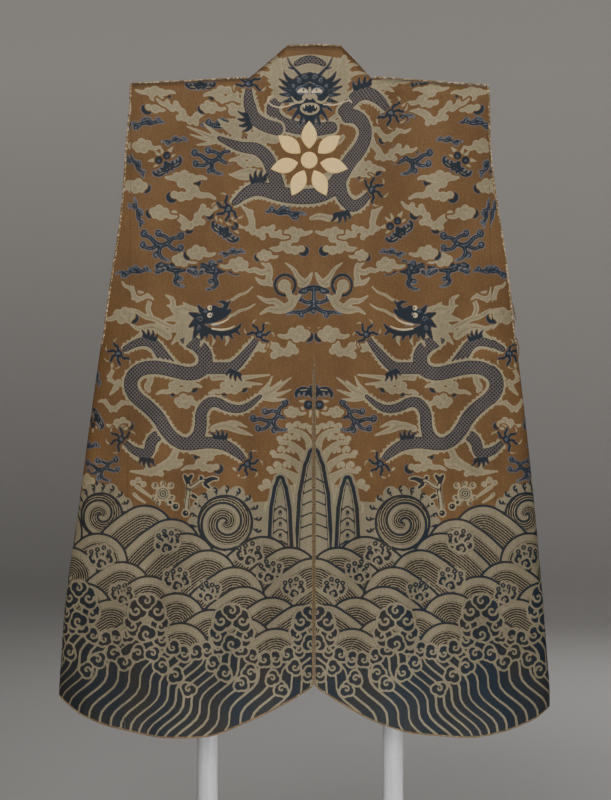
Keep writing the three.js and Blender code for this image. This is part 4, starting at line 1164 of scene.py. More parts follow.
def paintShoulders():
    # the upper field: clouds and bats about the front-facing dragon
    strew([
        ("stack", 34, 978, 0.85, 0, 0, 1), ("zigzag", 82, 1000, 0.8, 25, 1, 0),
        ("stack", 196, 1060, 0.95, 0, 1, 1), ("zigzag", 184, 1016, 0.85, -20, 1, 1),
        ("puff", 270, 1062, 0.9, 0, 0, 1), ("puff", 234, 1022, 0.9, 10, 1, 1),
        ("stack", 236, 1190, 0.85, 0, 1, 1), ("zigzag", 196, 1172, 0.8, 20, 0, 0),
        ("puff", 262, 1122, 0.9, 0, 1, 0), ("puff", 176, 962, 0.9, 0, 1, 1),
        ("puff", 74, 958, 0.7, 0, 1, 1), ("ribbon", 266, 900, 0.6, 30, 0, 0),
        ("lacy", 158, 1102, 0.95, 0, 0, 0), ("lacy", 232, 976, 1, 10, 0, 0),
        ("bar", 258, 1156, 0.85, 0, 0, 0), ("bar", 272, 1094, 0.7, 60, 0, 0),
        ("bar", 268, 1022, 0.7, 80, 0, 0), ("bar", 214, 1130, 0.6, 0, 0, 0),
        ("bar", 270, 934, 0.8, 0, 0, 0), ("bar", 124, 962, 0.6, 0, 0, 0),
        ("bat", 132, 1000, 0.85, 215, 0, 0), ("bat", 228, 1098, 0.85, 150, 0, 0),
        ("bat", 170, 1222, 0.8, 180, 0, 0),
    ])
    strew([
        ("round", -132, 1198, 0.85, 0, 0, 1), ("stack", -124, 1168, 0.7, 0, 0, 0),
        ("stack", 176, 1196, 0.75, 0, 1, 0), ("puff", 120, 1222, 0.9, 0, 0, 1),
        ("puff", -84, 1134, 1.2, 0, 0, 1), ("ribbon", 124, 1140, 0.7, 0, 0, 1),
        ("zigzag", 122, 1114, 0.75, 0, 0, 0), ("round", 84, 1086, 0.8, 0, 1, 1),
        ("round", -104, 1100, 0.7, 0, 0, 0), ("puff", -160, 1180, 0.8, 0, 0, 1),
        ("bar", -144, 1152, 1, 0, 0, 0), ("bar", -44, 1022, 0.95, 0, 0, 0),
        ("bar", 136, 1168, 0.8, 0, 0, 0),
    ], False)
    frontDragon()


paintSky()
paintShoulders()
paintSea()
treasures()
# the collar's top is plain
plain = (canvasV[:, None] - canvas["plainFrom"]) * np.ones_like(swell)
for ink in inks:
    field[ink] = np.maximum(field[ink], plain).astype(np.float32)
print("pattern painted")


def sampledInks(u, v, edge):
    # the fields at places on the cloth, packed by threes
    columns = np.clip(u + canvas["reach"], 0, len(canvasU) - 1.001)
    lines = np.clip(v - canvas["low"], 0, len(canvasV) - 1.001)
    c, r = columns.astype(int), lines.astype(int)
    fc, fr = columns - c, lines - r

    def at(values):
        top = values[r, c] * (1 - fc) + values[r, c + 1] * fc
        return (values[r + 1, c] * (1 - fc) + values[r + 1, c + 1] * fc) * fr + top * (1 - fr)

    nearest = swell[np.rint(lines).astype(int), np.rint(columns).astype(int)]
    taken = {ink: np.clip(at(field[ink]), -6, 6) for ink in inks}
    taken.update(swell=nearest, edge=edge)
    return {name: np.stack([taken[label] for label in labels], axis=-1)
            for name, labels in inkPacks.items()}


# colours, nodes and materials


def rgb(red, green, blue):
    # screen values from 0 to 255
    linear = [v / 255 / 12.92 if v < 10 else ((v / 255 + 0.055) / 1.055) ** 2.4
              for v in (red, green, blue)]
    return (*linear, 1.0)


def addNode(tree, kind, sockets=None, **settings):
    # a node, its settings, and values or links for its inputs
    node = tree.nodes.new("ShaderNode" + kind)
    for name, value in settings.items():
        setattr(node, name, value)
    for name, value in (sockets or {}).items():
        socket = node.inputs[name]
        if isinstance(value, bpy.types.NodeSocket):
            tree.links.new(value, socket)
        else:
            socket.default_value = value
    return node


def calc(tree, operation, first, second=0.0, clamp=False):
    node = addNode(tree, "Math", {0: first, 1: second}, operation=operation, use_clamp=clamp)
    return node.outputs[0]


def blendColour(tree, factor, first, second, how="MIX"):
    node = addNode(tree, "Mix", data_type="RGBA", blend_type=how)
    for socket, value in ((node.inputs[0], factor), (node.inputs[6], first),
                          (node.inputs[7], second)):
        if isinstance(value, bpy.types.NodeSocket):
            tree.links.new(value, socket)
        else:
            socket.default_value = value
    return node.outputs[2]


def ranged(tree, value, low, high, toLow=0.0, toHigh=1.0):
    # a value between low and high becomes one between toLow and toHigh, and stays between them
    return addNode(tree, "MapRange", {0: value, 1: low, 2: high, 3: toLow, 4: toHigh}).outputs[0]


def noise(tree, place, scale, detail):
    return addNode(tree, "TexNoise", {"Vector": place, "Scale": scale, "Detail": detail}).outputs[0]


def stretched(tree, place, factors):
    return addNode(tree, "VectorMath", {0: place, 1: factors}, operation="MULTIPLY").outputs[0]


def shaded(tree, colour, value):
    # a colour made lighter or darker by a value
    grey = addNode(tree, "CombineColor", {0: value, 1: value, 2: value}).outputs[0]
    return blendColour(tree, 1.0, colour, grey, "MULTIPLY")


def newGroup(name, inputs, outputs):
    group = bpy.data.node_groups.new(name, "ShaderNodeTree")
    for label, kind, value in inputs:
        socket = group.interface.new_socket(label, in_out="INPUT", socket_type="NodeSocket" + kind)
        if value is not None:
            socket.default_value = value
    for label, kind in outputs:
        group.interface.new_socket(label, in_out="OUTPUT", socket_type="NodeSocket" + kind)
    return group, group.nodes.new("NodeGroupInput"), group.nodes.new("NodeGroupOutput")


def useGroup(tree, group, sockets):
    node = addNode(tree, "Group", node_tree=group)
    for name, value in sockets.items():
        if isinstance(value, bpy.types.NodeSocket):
            tree.links.new(value, node.inputs[name])
        else:
            node.inputs[name].default_value = value
    return node


# Woven silk: the height of its ribs, how far its colour has faded, and its uneven threads.
# Its place is in millimetres along the cloth.
weave, weaveIn, weaveOut = newGroup(
    "wovenSilk",
    [("Place", "Vector", None), ("Rib", "Float", 1.0)],
    [("Height", "Float"), ("Fade", "Float"), ("Slub", "Float")],
)
clothAt = weaveIn.outputs["Place"]
ribs = noise(weave, stretched(weave, clothAt, (0.16, 1.15, 0.4)), 1.0, 2.0)
warp = noise(weave, stretched(weave, clothAt, (0.9, 0.05, 0.4)), 1.0, 1.0)
height = calc(weave, "ADD", calc(weave, "MULTIPLY", ribs, weaveIn.outputs["Rib"]),
              calc(weave, "MULTIPLY", warp, 0.5))
weave.links.new(height, weaveOut.inputs["Height"])
weave.links.new(noise(weave, clothAt, 0.013, 4.0), weaveOut.inputs["Fade"])
threads = calc(weave, "MULTIPLY", calc(weave, "ADD", ribs, warp), 0.28)
grain = calc(weave, "MULTIPLY", noise(weave, clothAt, 0.42, 2.0), 0.44)
weave.links.new(calc(weave, "ADD", threads, grain), weaveOut.inputs["Slub"])


def newMaterial(name):
    material = bpy.data.materials.new(name)
    material.use_nodes = True
    tree = material.node_tree
    shader = next(n for n in tree.nodes if n.type == "BSDF_PRINCIPLED")
    return material, tree, shader


def finishShader(tree, shader, colour, height, values, depth=0.0003, strength=0.5):
    bump = addNode(tree, "Bump", {"Height": height, "Distance": depth, "Strength": strength})
    tree.links.new(bump.outputs[0], shader.inputs["Normal"])
    tree.links.new(colour, shader.inputs["Base Color"])
    for name, value in values.items():
        if isinstance(value, bpy.types.NodeSocket):
            tree.links.new(value, shader.inputs[name])
        else:
            shader.inputs[name].default_value = value


# colours that old dyes have now
silkInks = {
    "ground": rgb(107, 79, 50),
    "groundFaded": rgb(118, 89, 58),
    "wave": rgb(137, 128, 105),
    "waveLine": rgb(46, 41, 38),
    "navy": rgb(36, 46, 56),
    "navyBrowned": rgb(56, 51, 46),
    "scale": rgb(44, 43, 50),
    "scaleLine": rgb(112, 104, 98),
    "blue": rgb(106, 110, 118),
    "sage": rgb(147, 136, 109),
    "sageRim": rgb(158, 146, 117),
    "olive": rgb(116, 104, 77),
    "cream": rgb(208, 190, 152),
}
# sizes in millimetres on the cloth
silkFigure = {
    "linePitch": 3.6,  # of the drawn lines on the waves
    "lineWidth": 2.1,
    "linesFrom": 13.0,  # below a wave's rim
    "linesTo": 42.0,
    "scalePitch": 5.4,
    "scaleWidth": 1.4,
    "scaleSlope": 0.95,
    "inkEdge": 0.3,  # half the soft edge of an ink
    "rimWidth": 2.2,  # of the pale edge of clouds and flames
    "corner": 8.0,  # how far the turned top edge lies in the shade
}


def figuredSilk():
    material, tree, shader = newMaterial("figuredSilk")
    plain = addNode(tree, "Attribute", attribute_name="clothPlace").outputs["Vector"]
    parts = addNode(tree, "SeparateXYZ", {0: plain})
    across, up = parts.outputs[0], parts.outputs[1]
    woven = useGroup(tree, weave, {"Place": plain, "Rib": 1.0})
    fields = {}
    for name, labels in inkPacks.items():
        packed = addNode(tree, "Attribute", attribute_name=name).outputs["Vector"]
        split = addNode(tree, "SeparateXYZ", {0: packed})
        for i, label in enumerate(labels):
            fields[label] = split.outputs[i]

    # how much of a point an ink covers, from its distance to the ink's edge
    def covered(field):
        return ranged(tree, field, silkFigure["inkEdge"], -silkFigure["inkEdge"])

    def fineLines(value, pitch, width):
        share = calc(tree, "FRACT", calc(tree, "DIVIDE", value, silkFigure[pitch]))
        centre = calc(tree, "ABSOLUTE", calc(tree, "SUBTRACT", share, 0.5))
        half = silkFigure[width] / silkFigure[pitch] / 2
        return ranged(tree, centre, half + 0.06, half - 0.06)

    # drawn lines follow each swell below its rim
    depth = fields["swell"]
    inBand = calc(tree, "MULTIPLY", covered(calc(tree, "SUBTRACT", silkFigure["linesFrom"], depth)),
                  covered(calc(tree, "SUBTRACT", depth, silkFigure["linesTo"])))
    lines = calc(tree, "MULTIPLY", fineLines(depth, "linePitch", "lineWidth"), inBand)
    # a lattice of scales
    slanted = calc(tree, "MULTIPLY", up, silkFigure["scaleSlope"])
    rising = fineLines(calc(tree, "ADD", across, slanted), "scalePitch", "scaleWidth")
    falling = fineLines(calc(tree, "SUBTRACT", across, slanted), "scalePitch", "scaleWidth")
    lattice = calc(tree, "MAXIMUM", rising, falling)
    # clouds and flames are paler along their edges
    rim = ranged(tree, fields["sage"], -silkFigure["rimWidth"], 1.0 - silkFigure["rimWidth"])
    # the dark dye has browned in patches, most of all along the left
    dyed = noise(tree, stretched(tree, plain, (0.016, 0.0075, 1)), 1.0, 2.0)
    toLeft = ranged(tree, across, -360.0, 360.0, 0.1, -0.04)
    browned = ranged(tree, calc(tree, "ADD", dyed, toLeft), 0.38, 0.68, 0.0, 0.75)
    browned = calc(tree, "MULTIPLY", browned, ranged(tree, up, 860.0, 600.0, 0.15, 1.0))

    colour = blendColour(tree, woven.outputs["Fade"], silkInks["ground"], silkInks["groundFaded"])
    second = {"wave": (lines, "waveLine"), "navy": (browned, "navyBrowned"),
              "scale": (lattice, "scaleLine"), "sage": (rim, "sageRim")}
    for name in inks:
        over = silkInks[name]
        if name in second:
            over = blendColour(tree, second[name][0], over, silkInks[second[name][1]])
        colour = blendColour(tree, covered(fields[name]), colour, over)
    # threads of slightly different dye lots; painted shade of its cord darkens the turned top edge
    slubAndCordShade = ranged(tree, woven.outputs["Slub"], 0.38, 0.62, 0.82, 1.17)
    slubAndCordShade = calc(tree, "MULTIPLY", slubAndCordShade, ranged(tree, fields["edge"], 1.0, silkFigure["corner"],
                                               0.5, 1.0))
    # fading, painted shade at the sides where the cloth turns away, darker towards the hem, and
    # painted light and shade of soft hanging folds
    fade = ranged(tree, woven.outputs["Fade"], 0.3, 0.7, 0.9, 1.08)
    sideShadeAndDarkerHem = ranged(tree, calc(tree, "ABSOLUTE", across), 250.0, 380.0, 1.0, 0.8)
    sideShadeAndDarkerHem = calc(tree, "MULTIPLY", sideShadeAndDarkerHem, ranged(tree, up, 460.0, 330.0, 1.0, 0.97))
    # painted light and shade: lighter and darker vertical streaks standing for soft folds, stronger
    # lower down
    folded = noise(tree, stretched(tree, plain, (0.019, 0.0032, 1)), 1.0, 2.0)
    foldLightAndShade = ranged(tree, folded, 0.36, 0.64, -0.13, 0.12)
    foldLightAndShade = calc(tree, "MULTIPLY", foldLightAndShade, ranged(tree, up, 980.0, 620.0, 0.35, 1.0))
    fade = calc(tree, "MULTIPLY", fade, calc(tree, "MULTIPLY", sideShadeAndDarkerHem, calc(tree, "ADD", 1.0, foldLightAndShade)))
    colour = shaded(tree, shaded(tree, colour, slubAndCordShade), fade)
    finishShader(tree, shader, colour, woven.outputs["Height"], {
        "Roughness": ranged(tree, woven.outputs["Slub"], 0.3, 0.7, 0.62, 0.5),
        "Specular IOR Level": 0.14,
    })
    return material


def plainCloth(name, colours, place, rib, values, depth=0.0003):
    # plain woven cloth with a little fading
    material, tree, shader = newMaterial(name)
    if place == "clothPlace":
        where = addNode(tree, "Attribute", attribute_name=place).outputs["Vector"]
    else:
        where = stretched(tree, addNode(tree, "TexCoord").outputs["Object"], (1000, 1000, 1000))
        where = addNode(tree, "VectorRotate", {"Vector": where, "Angle": math.pi / 2},
                        rotation_type="X_AXIS").outputs[0]
    woven = useGroup(tree, weave, {"Place": where, "Rib": rib})
    colour = blendColour(tree, woven.outputs["Fade"], colours[0], colours[1])
    colour = shaded(tree, colour, ranged(tree, woven.outputs["Slub"], 0.35, 0.65, 0.88, 1.1))
    finishShader(tree, shader, colour, woven.outputs["Height"], values, depth)
    return material


# Thread wrapped in gilt paper, which is lost in places, with pale painted glints in others. Its
# place is in metres on the piece.
gilding, gildingIn, gildingOut = newGroup(
    "gildedThread",
    [("Place", "Vector", None), ("GlintShare", "Float", 0.0)],
    [("Colour", "Color"), ("Metal", "Float"), ("Height", "Float")],
)
threadAt = gildingIn.outputs["Place"]
wraps = noise(gilding, threadAt, 950.0, 2.0)
bright = ranged(gilding, wraps, 0.42, 0.62)
lost = ranged(gilding, noise(gilding, threadAt, 130.0, 3.0), 0.5, 0.62)
# painted glints: pale spots of colour where noise, raised by GlintShare, passes a threshold
paintedGlint = calc(gilding, "ADD", noise(gilding, threadAt, 240.0, 2.0), gildingIn.outputs["GlintShare"])
paintedGlint = calc(gilding, "MULTIPLY", ranged(gilding, paintedGlint, 0.66, 0.7), 0.85)
gilt = blendColour(gilding, bright, rgb(92, 72, 46), rgb(176, 152, 108))
gilt = blendColour(gilding, calc(gilding, "MULTIPLY", lost, 0.75), gilt, rgb(120, 84, 60))
gilding.links.new(blendColour(gilding, paintedGlint, gilt, rgb(222, 202, 168)), gildingOut.inputs["Colour"])
whole = calc(gilding, "SUBTRACT", 1.0, lost, clamp=True)
gilding.links.new(calc(gilding, "MULTIPLY", whole, 0.45), gildingOut.inputs["Metal"])
gilding.links.new(wraps, gildingOut.inputs["Height"])


def giltThread(name, glintShare):
    material, tree, shader = newMaterial(name)
    point = addNode(tree, "TexCoord").outputs["Object"]
    gilded = useGroup(tree, gilding, {"Place": point, "GlintShare": glintShare})
    finishShader(tree, shader, gilded.outputs["Colour"], gilded.outputs["Height"], {
        "Roughness": 0.42, "Metallic": gilded.outputs["Metal"], "Specular IOR Level": 0.5,
    })
    return material


def paintedPlate():
    material, tree, shader = newMaterial("standPlate")
    point = addNode(tree, "TexCoord").outputs["Object"]
    dust = noise(tree, point, 9.0, 4.0)
    colour = blendColour(tree, dust, rgb(176, 172, 178), rgb(192, 189, 194))
    finishShader(tree, shader, colour, noise(tree, point, 420.0, 2.0), {
        "Roughness": ranged(tree, dust, 0.3, 0.7, 0.42, 0.58), "Metallic": 0.1,
    }, depth=0.00015)
    return material


finishes = {
    "figured_silk": figuredSilk(),
    "plain_silk": plainCloth("plainSilk", (rgb(86, 62, 40), rgb(98, 72, 47)), "clothPlace", 1.0,
                             {"Roughness": 0.6, "Specular IOR Level": 0.16}),
    "gilt_cord": giltThread("giltThread", 0.0),
    "cream_cloth": plainCloth("creamCloth", (rgb(252, 209, 137), rgb(255, 226, 157)), "Object", 0.8,
                              {"Roughness": 0.8, "Specular IOR Level": 0.1}),
    "post_cover": plainCloth("satinCover", (rgb(206, 206, 208), rgb(214, 214, 216)), "Object", 0.4,
                             {"Roughness": 0.38, "Sheen Weight": 0.1, "Specular IOR Level": 0.4},
                             0.0001),
    "stand_plate": paintedPlate(),
}
# the same gilt with more painted glints, for the shoulder, collar, armhole and knot cords
brightGilt = giltThread("brightGiltThread", 0.14)


def dress(piece, slotName, finish=None):
    piece.data.materials.clear()
    piece.data.materials.append(finish or finishes[slotName])


for name, (outer, inner) in grids.items():
    kind, side = name.rsplit("_", 1)
    flip = (kind in ("back", "gore_back")) == (side == "left")
    cadNode = name if kind != "band" else "collar_band_" + side
    slotName = "plain_silk" if kind == "band" else "figured_silk"
    for layer, points, turned in (("silk", outer, flip), ("lining", inner[::4, ::4], not flip)):
        piece, row, column = sheetMesh(layer + "_" + name, points, turned)
        u, v = laidFlat(points, signOf(side))
        u, v = u[row, column], v[row, column]
        setAttribute(piece, "clothPlace", np.stack([u, v, np.zeros_like(u)], axis=-1))
        if layer == "silk" and kind != "band":
            # how far each point lies below the turned top edge; this sets the painted shade under
            # the cord
            edge = np.full_like(u, 40.0)  # millimetres below the turned top edge
            if kind in ("back", "front"):
                x = points[row, column, 0]
                slope = (topAt(kind, x + 1)[0] - topAt(kind, x - 1)[0]) / 2
                below = topAt(kind, x)[0] - points[row, column, 2]
                edge = np.clip(below / np.sqrt(1 + slope ** 2), 0, 40)
            for label, values in sampledInks(u, v, edge).items():
                setAttribute(piece, label, values)
        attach(piece, "root")
        if layer == "silk":
            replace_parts(piece, cadNode)
        dress(piece, slotName if layer == "silk" else "plain_silk")
print("silk pieces made")

# piping cords
cordStyle = {"radius": 1.8, "strand": 1.02, "lay": 7.2, "step": 1.25, "sides": 6}
cordRoute = {
    "ventClear": 6,  # of the vent's top
    "cornerZ": 300.0,
    "cornerClear": 2.5,
    "armholeClear": 8,  # of the armhole's ends
    "facesApart": 0.9,
    "above": 1.2,  # the seam that it covers
    "coil": 2.5,
}
cordLengths = {}


def evenly(points, step):
    # the same line with its points a step apart
    points = np.array(points, float)
    run = np.concatenate([[0], np.cumsum(np.linalg.norm(np.diff(points, axis=0), axis=1))])
    keep = np.concatenate([[True], np.diff(run) > 1e-6])
    points, run = points[keep], run[keep]
    at = np.linspace(0, run[-1], max(int(run[-1] / step), 3) + 1)
    return np.stack([np.interp(at, run, points[:, k]) for k in range(3)], axis=-1), at


def softened(points, times):
    # the same points, each moved towards its neighbours
    points = points.copy()
    for _ in range(times):
        points[1:-1] = (points[:-2] + 2 * points[1:-1] + points[2:]) / 4
    return points


def twistedCord(name, path, finish=None, size=1.0):
    # two strands wound round each other along a path in millimetres
    line, at = evenly(path, cordStyle["step"])
    line = softened(line, 2)
    cordLengths[name] = round(float(at[-1]) * mm, 3)
    along = np.gradient(line, axis=0)
    along /= np.linalg.norm(along, axis=1, keepdims=True)
    first = np.zeros_like(line)
    first[0] = np.cross(along[0], (0.31, 0.87, 0.4))
    for i in range(1, len(line)):
        first[i] = first[i - 1] - along[i] * np.dot(first[i - 1], along[i])
        first[i] /= np.linalg.norm(first[i])
    first[0] /= np.linalg.norm(first[0])
    second = np.cross(along, first)
    bm = bmesh.new()
    for strand in range(2):
        phase = 2 * math.pi * at / cordStyle["lay"] + math.pi * strand
        offset = size * (cordStyle["radius"] - cordStyle["strand"])
        middle = line + offset * (np.cos(phase)[:, None] * first + np.sin(phase)[:, None] * second)
        rings = []
        for i, centre in enumerate(middle):
            angles = [2 * math.pi * k / cordStyle["sides"] for k in range(cordStyle["sides"])]
            thick = size * cordStyle["strand"] * (0.25 if i in (0, len(middle) - 1) else 1)
            ring = [centre + thick * (math.cos(a) * first[i] + math.sin(a) * second[i])
                    for a in angles]
            rings.append([bm.verts.new(Vector(p * mm)) for p in ring])
        for one, two in zip(rings[:-1], rings[1:]):
            for k in range(cordStyle["sides"]):
                j = (k + 1) % cordStyle["sides"]
                bm.faces.new((one[k], one[j], two[j], two[k]))
        bm.faces.new(list(reversed(rings[0])))
        bm.faces.new(rings[-1])
    bmesh.ops.recalc_face_normals(bm, faces=bm.faces)
    piece = newPiece(name, bm)
    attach(piece, "root")
    dress(piece, "gilt_cord", finish)
    return piece


def beside(edge, behind):
    # each edge point moved away from its neighbour in the cloth
    along = np.gradient(edge, axis=0)
    along /= np.linalg.norm(along, axis=1, keepdims=True)
    away = edge - behind
    away -= along * (away * along).sum(axis=1, keepdims=True)
    away /= np.maximum(np.linalg.norm(away, axis=1, keepdims=True), 1e-6)
    return edge + away * drape["cordInset"]


middles = {name: (outer + inner) / 2 for name, (outer, inner) in grids.items()}
for side in ("left", "right"):
    sign = signOf(side)
    back, front = middles["back_" + side], middles["front_" + side]
    goreBack, goreFront = middles["gore_back_" + side], middles["gore_front_" + side]
    band = middles["band_" + side]
    vent = beside(back[:, 0], back[:, 2])
    vent = vent[vent[:, 2] < drape["ventTop"] - cordRoute["ventClear"]]
    hemBack = np.concatenate([beside(back[-1], back[-4])[1:], beside(goreBack[-1], goreBack[-4])])
    hemFront = np.concatenate([beside(front[-1], front[-4]), beside(goreFront[-1], goreFront[-4])])
    limit = np.abs(reach(side, np.array(cordRoute["cornerZ"]))) - cordRoute["cornerClear"]
    hemBack = hemBack[np.abs(hemBack[:, 0]) < limit]
    hemFront = hemFront[np.abs(hemFront[:, 0]) < limit]
    corner = goreBack[-1, -1].copy()
    corner[:] = reach(side, corner[2]) - sign * 1.2, 0, corner[2] - drape["cordInset"]
    hemBand = beside(band[-1], band[-4])
    frontEdge = beside(band[:, 0], band[:, 1])[2:]
    path = np.concatenate([vent, hemBack[2:], corner[None], hemFront[::-1], hemBand[2:][::-1],
                           frontEdge[::-1][3:]])
    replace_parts(twistedCord("piping_hem_" + side, softened(path, 1)), "hem_cord_" + side)

    runs = []
    for face in ("back", "front"):
        panel, gore = middles[face + "_" + side], middles["gore_" + face + "_" + side]
        top = beside(panel[:, -1], panel[:, -3])
        low = beside(gore[:, -1], gore[:, -4])
        top = top[top[:, 2] > gores[side]["top"] + cordRoute["armholeClear"]][4:]
        low = low[low[:, 2] > drape["armholeBottom"] + cordRoute["armholeClear"]]
        run = np.concatenate([top, low])
        run[:, 1] += facing(face) * cordRoute["facesApart"]
        runs.append(run)
    foot = drape["armholeBottom"]
    lowest = np.array([[reach(side, np.array(foot)) - sign * 0.6, 0, foot + 3.0]])
    path = np.concatenate([runs[0], lowest, runs[1][::-1]])
    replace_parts(twistedCord("piping_armhole_" + side, path, brightGilt, 1.2),
                "armhole_cord_" + side)

    neckX = cornerOf(side, "neck")[0]
    x = np.linspace(neckX + sign * 1.8, back[0, -1, 0], 60)
    z = topAt("back", x)[0] + cordRoute["above"]
    path = np.stack([x, np.zeros_like(x), z], axis=-1)
    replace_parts(twistedCord("piping_shoulder_" + side, path, brightGilt), "shoulder_cord_" + side)
    # a small coil at the shoulder tip
    turns = np.linspace(0, 2.6 * math.pi, 40)
    tip = path[-1] - (sign * 0.5, 1.2, 1.5)
    radius = cordRoute["coil"]
    coil = np.stack([radius * np.cos(turns), turns * 0.25, radius * np.sin(turns)], axis=-1)
    twistedCord("knot_" + side, tip + coil, brightGilt, 0.9)

# loose ends beside the right armhole: points along each, in millimetres
looseEnds = {
    "upper": [(311.2, -1.5, 890), (314.2, -3.0, 881), (315.6, -3.2, 872), (318.2, -2.6, 863)],
    "middle": [(313.0, -1.5, 878), (312.6, -4.2, 868), (315.4, -4.0, 858), (315.0, -1.5, 846)],
    "lower": [(317.4, -1.5, 838), (321.2, -2.6, 828), (322.6, -2.2, 816), (320.8, -1.2, 803)],
}
for name, points in looseEnds.items():
    twistedCord("loose_end_" + name, softened(evenly(points, 1.6)[0], 4), None, 0.6)

x = np.linspace(cornerOf("left", "collar")[0], cornerOf("right", "collar")[0], 50)
topZ, depth = topAt("back", x)[:2]
path = np.stack([x, -depth + drape["wall"] / 2, topZ + cordRoute["above"]], axis=-1)
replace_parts(twistedCord("piping_collar", path, brightGilt), "collar_cord")
print("piping made, lengths in metres", cordLengths)

# applique flower
flower = {"x": 7.0, "z": 1101.0, "petals": 7, "inner": 17.0, "outer": 59.0, "halfWidth": 11.5,
          "disc": 12.5, "thick": 1.4, "turned": 1.1, "lift": 0.05, "crease": 0.12}


def patch(name, angle, start, end, halfAt, cadNode):
    # one thin leaf of cloth with its edge turned under
    f, g = np.meshgrid(np.linspace(0, 1, 41), np.linspace(-1, 1, 25), indexing="ij")
    along = mix(start, end, (1 - np.cos(math.pi * f)) / 2)
    half = np.maximum(halfAt((along - start) / (end - start)), 0.4)
    across = g * half
    x = flower["x"] + along * math.cos(angle) - across * math.sin(angle)
    z = flower["z"] + along * math.sin(angle) + across * math.cos(angle)
    edge = np.minimum((1 - np.abs(g)) * half, np.minimum(along - start, end - along))
    rise = flower["thick"] * np.sqrt(np.clip(edge / flower["turned"], 0, 1))
    rise = rise + flower["crease"] * np.sin(along * 0.9) * np.clip(edge / 3, 0, 1)
    points = shaped("back", x, z)[0] + outward("back", x, z) * (rise + flower["lift"])[..., None]
    piece = sheetMesh(name, points, True)[0]
    normals = np.zeros(len(piece.data.polygons) * 3)
    piece.data.polygons.foreach_get("normal", normals)
    if normals.reshape(-1, 3)[:, 1].mean() > 0:
        piece.data.flip_normals()
    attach(piece, "root")
    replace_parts(piece, cadNode)
    dress(piece, "cream_cloth")


def lancet(f):
    return flower["halfWidth"] * np.maximum(np.sin(math.pi * np.clip(f, 0, 1) ** 0.9), 0) ** 0.9


def rounded(f):
    return flower["disc"] * np.sqrt(np.maximum(0, 1 - (2 * f - 1) ** 2))


for k in range(flower["petals"]):
    angle = math.pi / 2 + 2 * math.pi * k / flower["petals"]
    patch("petal_cloth_%d" % (k + 1), angle, flower["inner"], flower["outer"], lancet,
          "petal_%d" % (k + 1))
patch("flower_cloth", 0.0, -flower["disc"], flower["disc"], rounded, "flower_disc")
print("flower made")

# stand, in metres
posts = {"left": -0.146, "right": 0.133, "radius": 0.0155, "foot": 0.01, "bare": 0.012, "sides": 72}
for side in ("left", "right"):
    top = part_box("post_" + side)[1][2] - posts["bare"]
    bm = bmesh.new()
    bmesh.ops.create_cone(bm, cap_ends=True, segments=posts["sides"], radius1=posts["radius"],
                          radius2=posts["radius"], depth=top - posts["foot"])
    bmesh.ops.translate(bm, verts=bm.verts, vec=Vector((posts[side], 0, (top + posts["foot"]) / 2)))
    piece = newPiece("post_cover_" + side, bm)
    for face in piece.data.polygons:
        face.use_smooth = len(face.vertices) == 4
    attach(piece, "root")
    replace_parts(piece, "post_" + side)
    dress(piece, "post_cover")
for name, slotName in (("shoulder_bar", "post_cover"), ("stand_base", "stand_plate")):
    dress(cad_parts[name], slotName)
print("stand made")

# stage, light and camera
studio = {"floor": 7.0, "sweep": 3.0, "wall": 9.0, "grey": rgb(222, 219, 215),
          "floorShadeGrey": rgb(152, 151, 150), "air": (0.585, 0.57, 0.56, 1), "airLight": 0.85}
bm = bmesh.new()
profile = [(0.001, 0), (studio["floor"], 0)]
for k in range(1, 13):
    angle = math.pi / 2 * k / 12
    profile.append((studio["floor"] + studio["sweep"] * math.sin(angle),
                    studio["sweep"] * (1 - math.cos(angle))))
profile.append((studio["floor"] + studio["sweep"], studio["wall"]))
verts = [bm.verts.new((x, 0, z)) for x, z in profile]
edges = [bm.edges.new((a, b)) for a, b in zip(verts[:-1], verts[1:])]
bmesh.ops.spin(bm, geom=verts + edges, cent=(0, 0, 0), axis=(0, 0, 1), angle=2 * math.pi,
               steps=96, use_merge=True)
bmesh.ops.recalc_face_normals(bm, faces=bm.faces)
bmesh.ops.reverse_faces(bm, faces=bm.faces)
backdrop = newPiece("backdrop", bm)
material, tree, shader = newMaterial("backdropPaper")
point = addNode(tree, "TexCoord").outputs["Object"]
split = addNode(tree, "SeparateXYZ", {0: point})
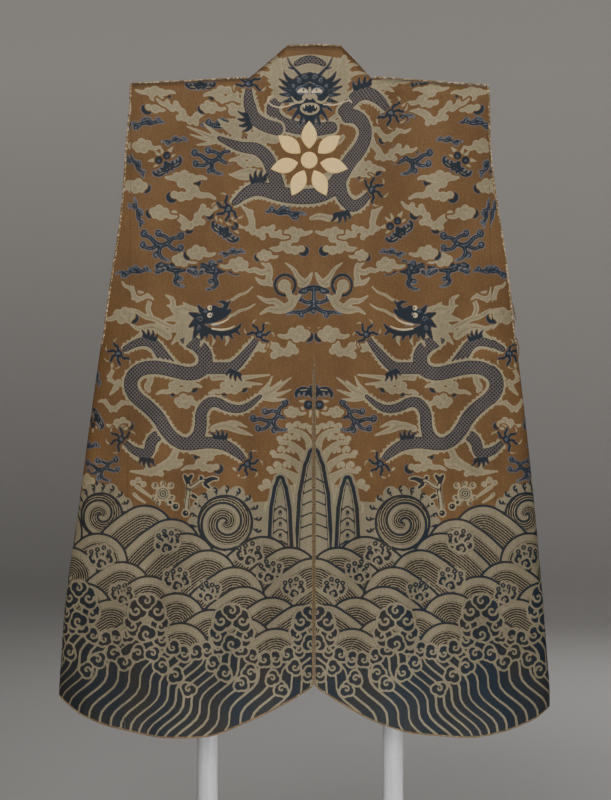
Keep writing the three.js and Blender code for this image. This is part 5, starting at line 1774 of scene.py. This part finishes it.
# painted light: the paper is darker low down and lighter up the wall, to 2.4 metres
low = ranged(tree, split.outputs[2], 0.0, 2.4)
paper = blendColour(tree, low, studio["floorShadeGrey"], studio["grey"])
# painted shade: the paper darkens towards the left, except high up
across = ranged(tree, split.outputs[0], -0.9, 0.9, 0.79, 1.1)
even = calc(tree, "MULTIPLY", low, calc(tree, "SUBTRACT", 0.9, across))
paper = shaded(tree, paper, calc(tree, "ADD", across, even))
tree.links.new(paper, shader.inputs["Base Color"])
shader.inputs["Roughness"].default_value = 0.9
shader.inputs["Specular IOR Level"].default_value = 0.1
backdrop.data.materials.append(material)

world = bpy.data.worlds.new("studioAir")
bpy.context.scene.world = world
world.use_nodes = True
air = world.node_tree.nodes["Background"]
air.inputs[0].default_value, air.inputs[1].default_value = studio["air"], studio["airLight"]

# place, where it points, size, strength, colour and spread in degrees
softLights = {
    "key": ((-0.9, -4.3, 3.2), (0, 0, 0.8), 2.0, 156.0, (1.0, 0.97, 0.93), 180),
    "fill": ((2.6, -3.4, 1.2), (0, 0, 0.7), 2.4, 30.0, (0.95, 0.97, 1.0), 180),
    "low": ((0.85, -2.45, 0.1), (0, 0, -0.14), 0.4, 2.1, (1.0, 1.0, 1.0), 20),
    "behind": ((1.6, 3.2, 2.8), (0, 0, 0.9), 2.2, 60.0, (1.0, 0.98, 0.96), 180),
}
for name, (place, target, size, power, colour, spread) in softLights.items():
    lamp = bpy.data.lights.new(name, "AREA")
    lamp.energy, lamp.size, lamp.color, lamp.spread = power, size, colour, math.radians(spread)
    holder = bpy.data.objects.new(name, lamp)
    holder.location = place
    holder.rotation_euler = (Vector(target) - Vector(place)).to_track_quat("-Z", "Y").to_euler()
    bpy.context.collection.objects.link(holder)

view = bpy.data.cameras.new("view")
view.lens, view.sensor_width = 84, 24
camera = bpy.data.objects.new("view", view)
camera.location = (0.0015, -4.21, 0.7425)
camera.rotation_euler = (math.pi / 2, 0, 0)
bpy.context.collection.objects.link(camera)
bpy.context.scene.camera = camera
